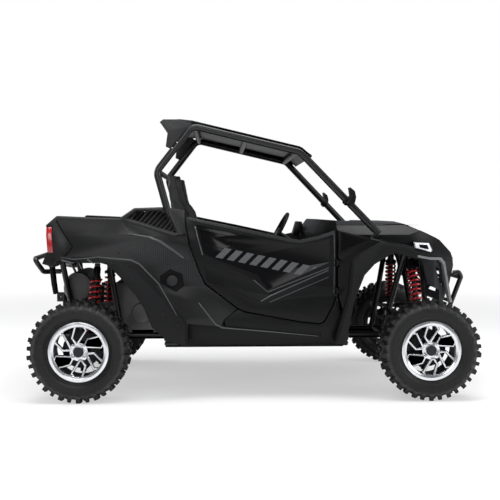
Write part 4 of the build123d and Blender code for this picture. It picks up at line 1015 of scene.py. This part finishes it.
def floorPaint():
    # Pale floor that keeps the shadow near the object and runs into the white background
    paint = Paint("studioFloor")
    grain = paint.noise(3.0, 3.0)
    tone = studio["floorTone"]
    paint.finish(Base_Color=paint.mixed(grain, (tone, tone, tone), (tone * 1.02,) * 3), Roughness=0.85)
    x, y, _ = paint.axes()
    reach = (x * x + y * y) ** 0.5
    fade = ((reach - studio["fadeStart"]) / (studio["fadeEnd"] - studio["fadeStart"])).clamped()
    white = paint.tree.nodes.new("ShaderNodeEmission")
    white.inputs["Color"].default_value = (1.0, 1.0, 1.0, 1.0)
    rays = paint.tree.nodes.new("ShaderNodeLightPath")
    seen = Wire(paint, rays.outputs["Is Camera Ray"])
    mix = paint.tree.nodes.new("ShaderNodeMixShader")
    paint.put(mix.inputs[0], (fade * (1.0 - studio["glow"]) + studio["glow"]) * seen)
    paint.tree.links.new(paint.shader.outputs[0], mix.inputs[1])
    paint.tree.links.new(white.outputs[0], mix.inputs[2])
    paint.tree.links.new(mix.outputs[0], paint.output.inputs["Surface"])
    return paint.material


clearSelection()
bpy.ops.mesh.primitive_grid_add(x_subdivisions=8, y_subdivisions=8, size=2 * studio["floorReach"])
floor = bpy.context.active_object
floor.name = "studioFloor"
floor.data.transform(floor.matrix_world)
floor.matrix_world = Matrix.Identity(4)
floor.data.materials.append(floorPaint())

sky = bpy.data.worlds.new("studioSky")
bpy.context.scene.world = sky
sky.use_nodes = True
skyNodes, skyLinks = sky.node_tree.nodes, sky.node_tree.links
skyNodes.clear()
soft = skyNodes.new("ShaderNodeBackground")
soft.inputs["Color"].default_value = (0.93, 0.95, 1.0, 1.0)
soft.inputs["Strength"].default_value = 0.25
plain = skyNodes.new("ShaderNodeBackground")
plain.inputs["Color"].default_value = (1.0, 1.0, 1.0, 1.0)
skyRays = skyNodes.new("ShaderNodeLightPath")
skyMix = skyNodes.new("ShaderNodeMixShader")
skyOut = skyNodes.new("ShaderNodeOutputWorld")
skyLinks.new(skyRays.outputs["Is Camera Ray"], skyMix.inputs[0])
skyLinks.new(soft.outputs[0], skyMix.inputs[1])
skyLinks.new(plain.outputs[0], skyMix.inputs[2])
skyLinks.new(skyMix.outputs[0], skyOut.inputs["Surface"])

lamps = {
    "overhead": {"place": (0.2, -0.6, 5.2), "aim": (0.0, 0.0, 0.6), "size": (6.0, 3.0), "power": 420.0},
    "nearSide": {"place": (-1.6, -6.2, 3.4), "aim": (0.0, 0.0, 0.8), "size": (3.6, 2.4), "power": 105.0},
    "frontSide": {"place": (5.6, -2.6, 2.6), "aim": (0.6, 0.0, 0.8), "size": (2.6, 2.6), "power": 130.0},
    "rearSide": {"place": (-5.6, 1.6, 3.0), "aim": (-0.6, 0.0, 0.9), "size": (2.6, 2.6), "power": 120.0},
}
for lampName, lamp in lamps.items():
    lampData = bpy.data.lights.new(lampName, "AREA")
    lampData.shape = "RECTANGLE"
    lampData.size, lampData.size_y = lamp["size"]
    lampData.energy = lamp["power"]
    holder = bpy.data.objects.new(lampName, lampData)
    bpy.context.scene.collection.objects.link(holder)
    holder.location = lamp["place"]
    holder.rotation_euler = (Vector(lamp["aim"]) - Vector(lamp["place"])).to_track_quat("-Z", "Y").to_euler()
bpy.context.scene.view_settings.view_transform = "Standard"
print("stage set")
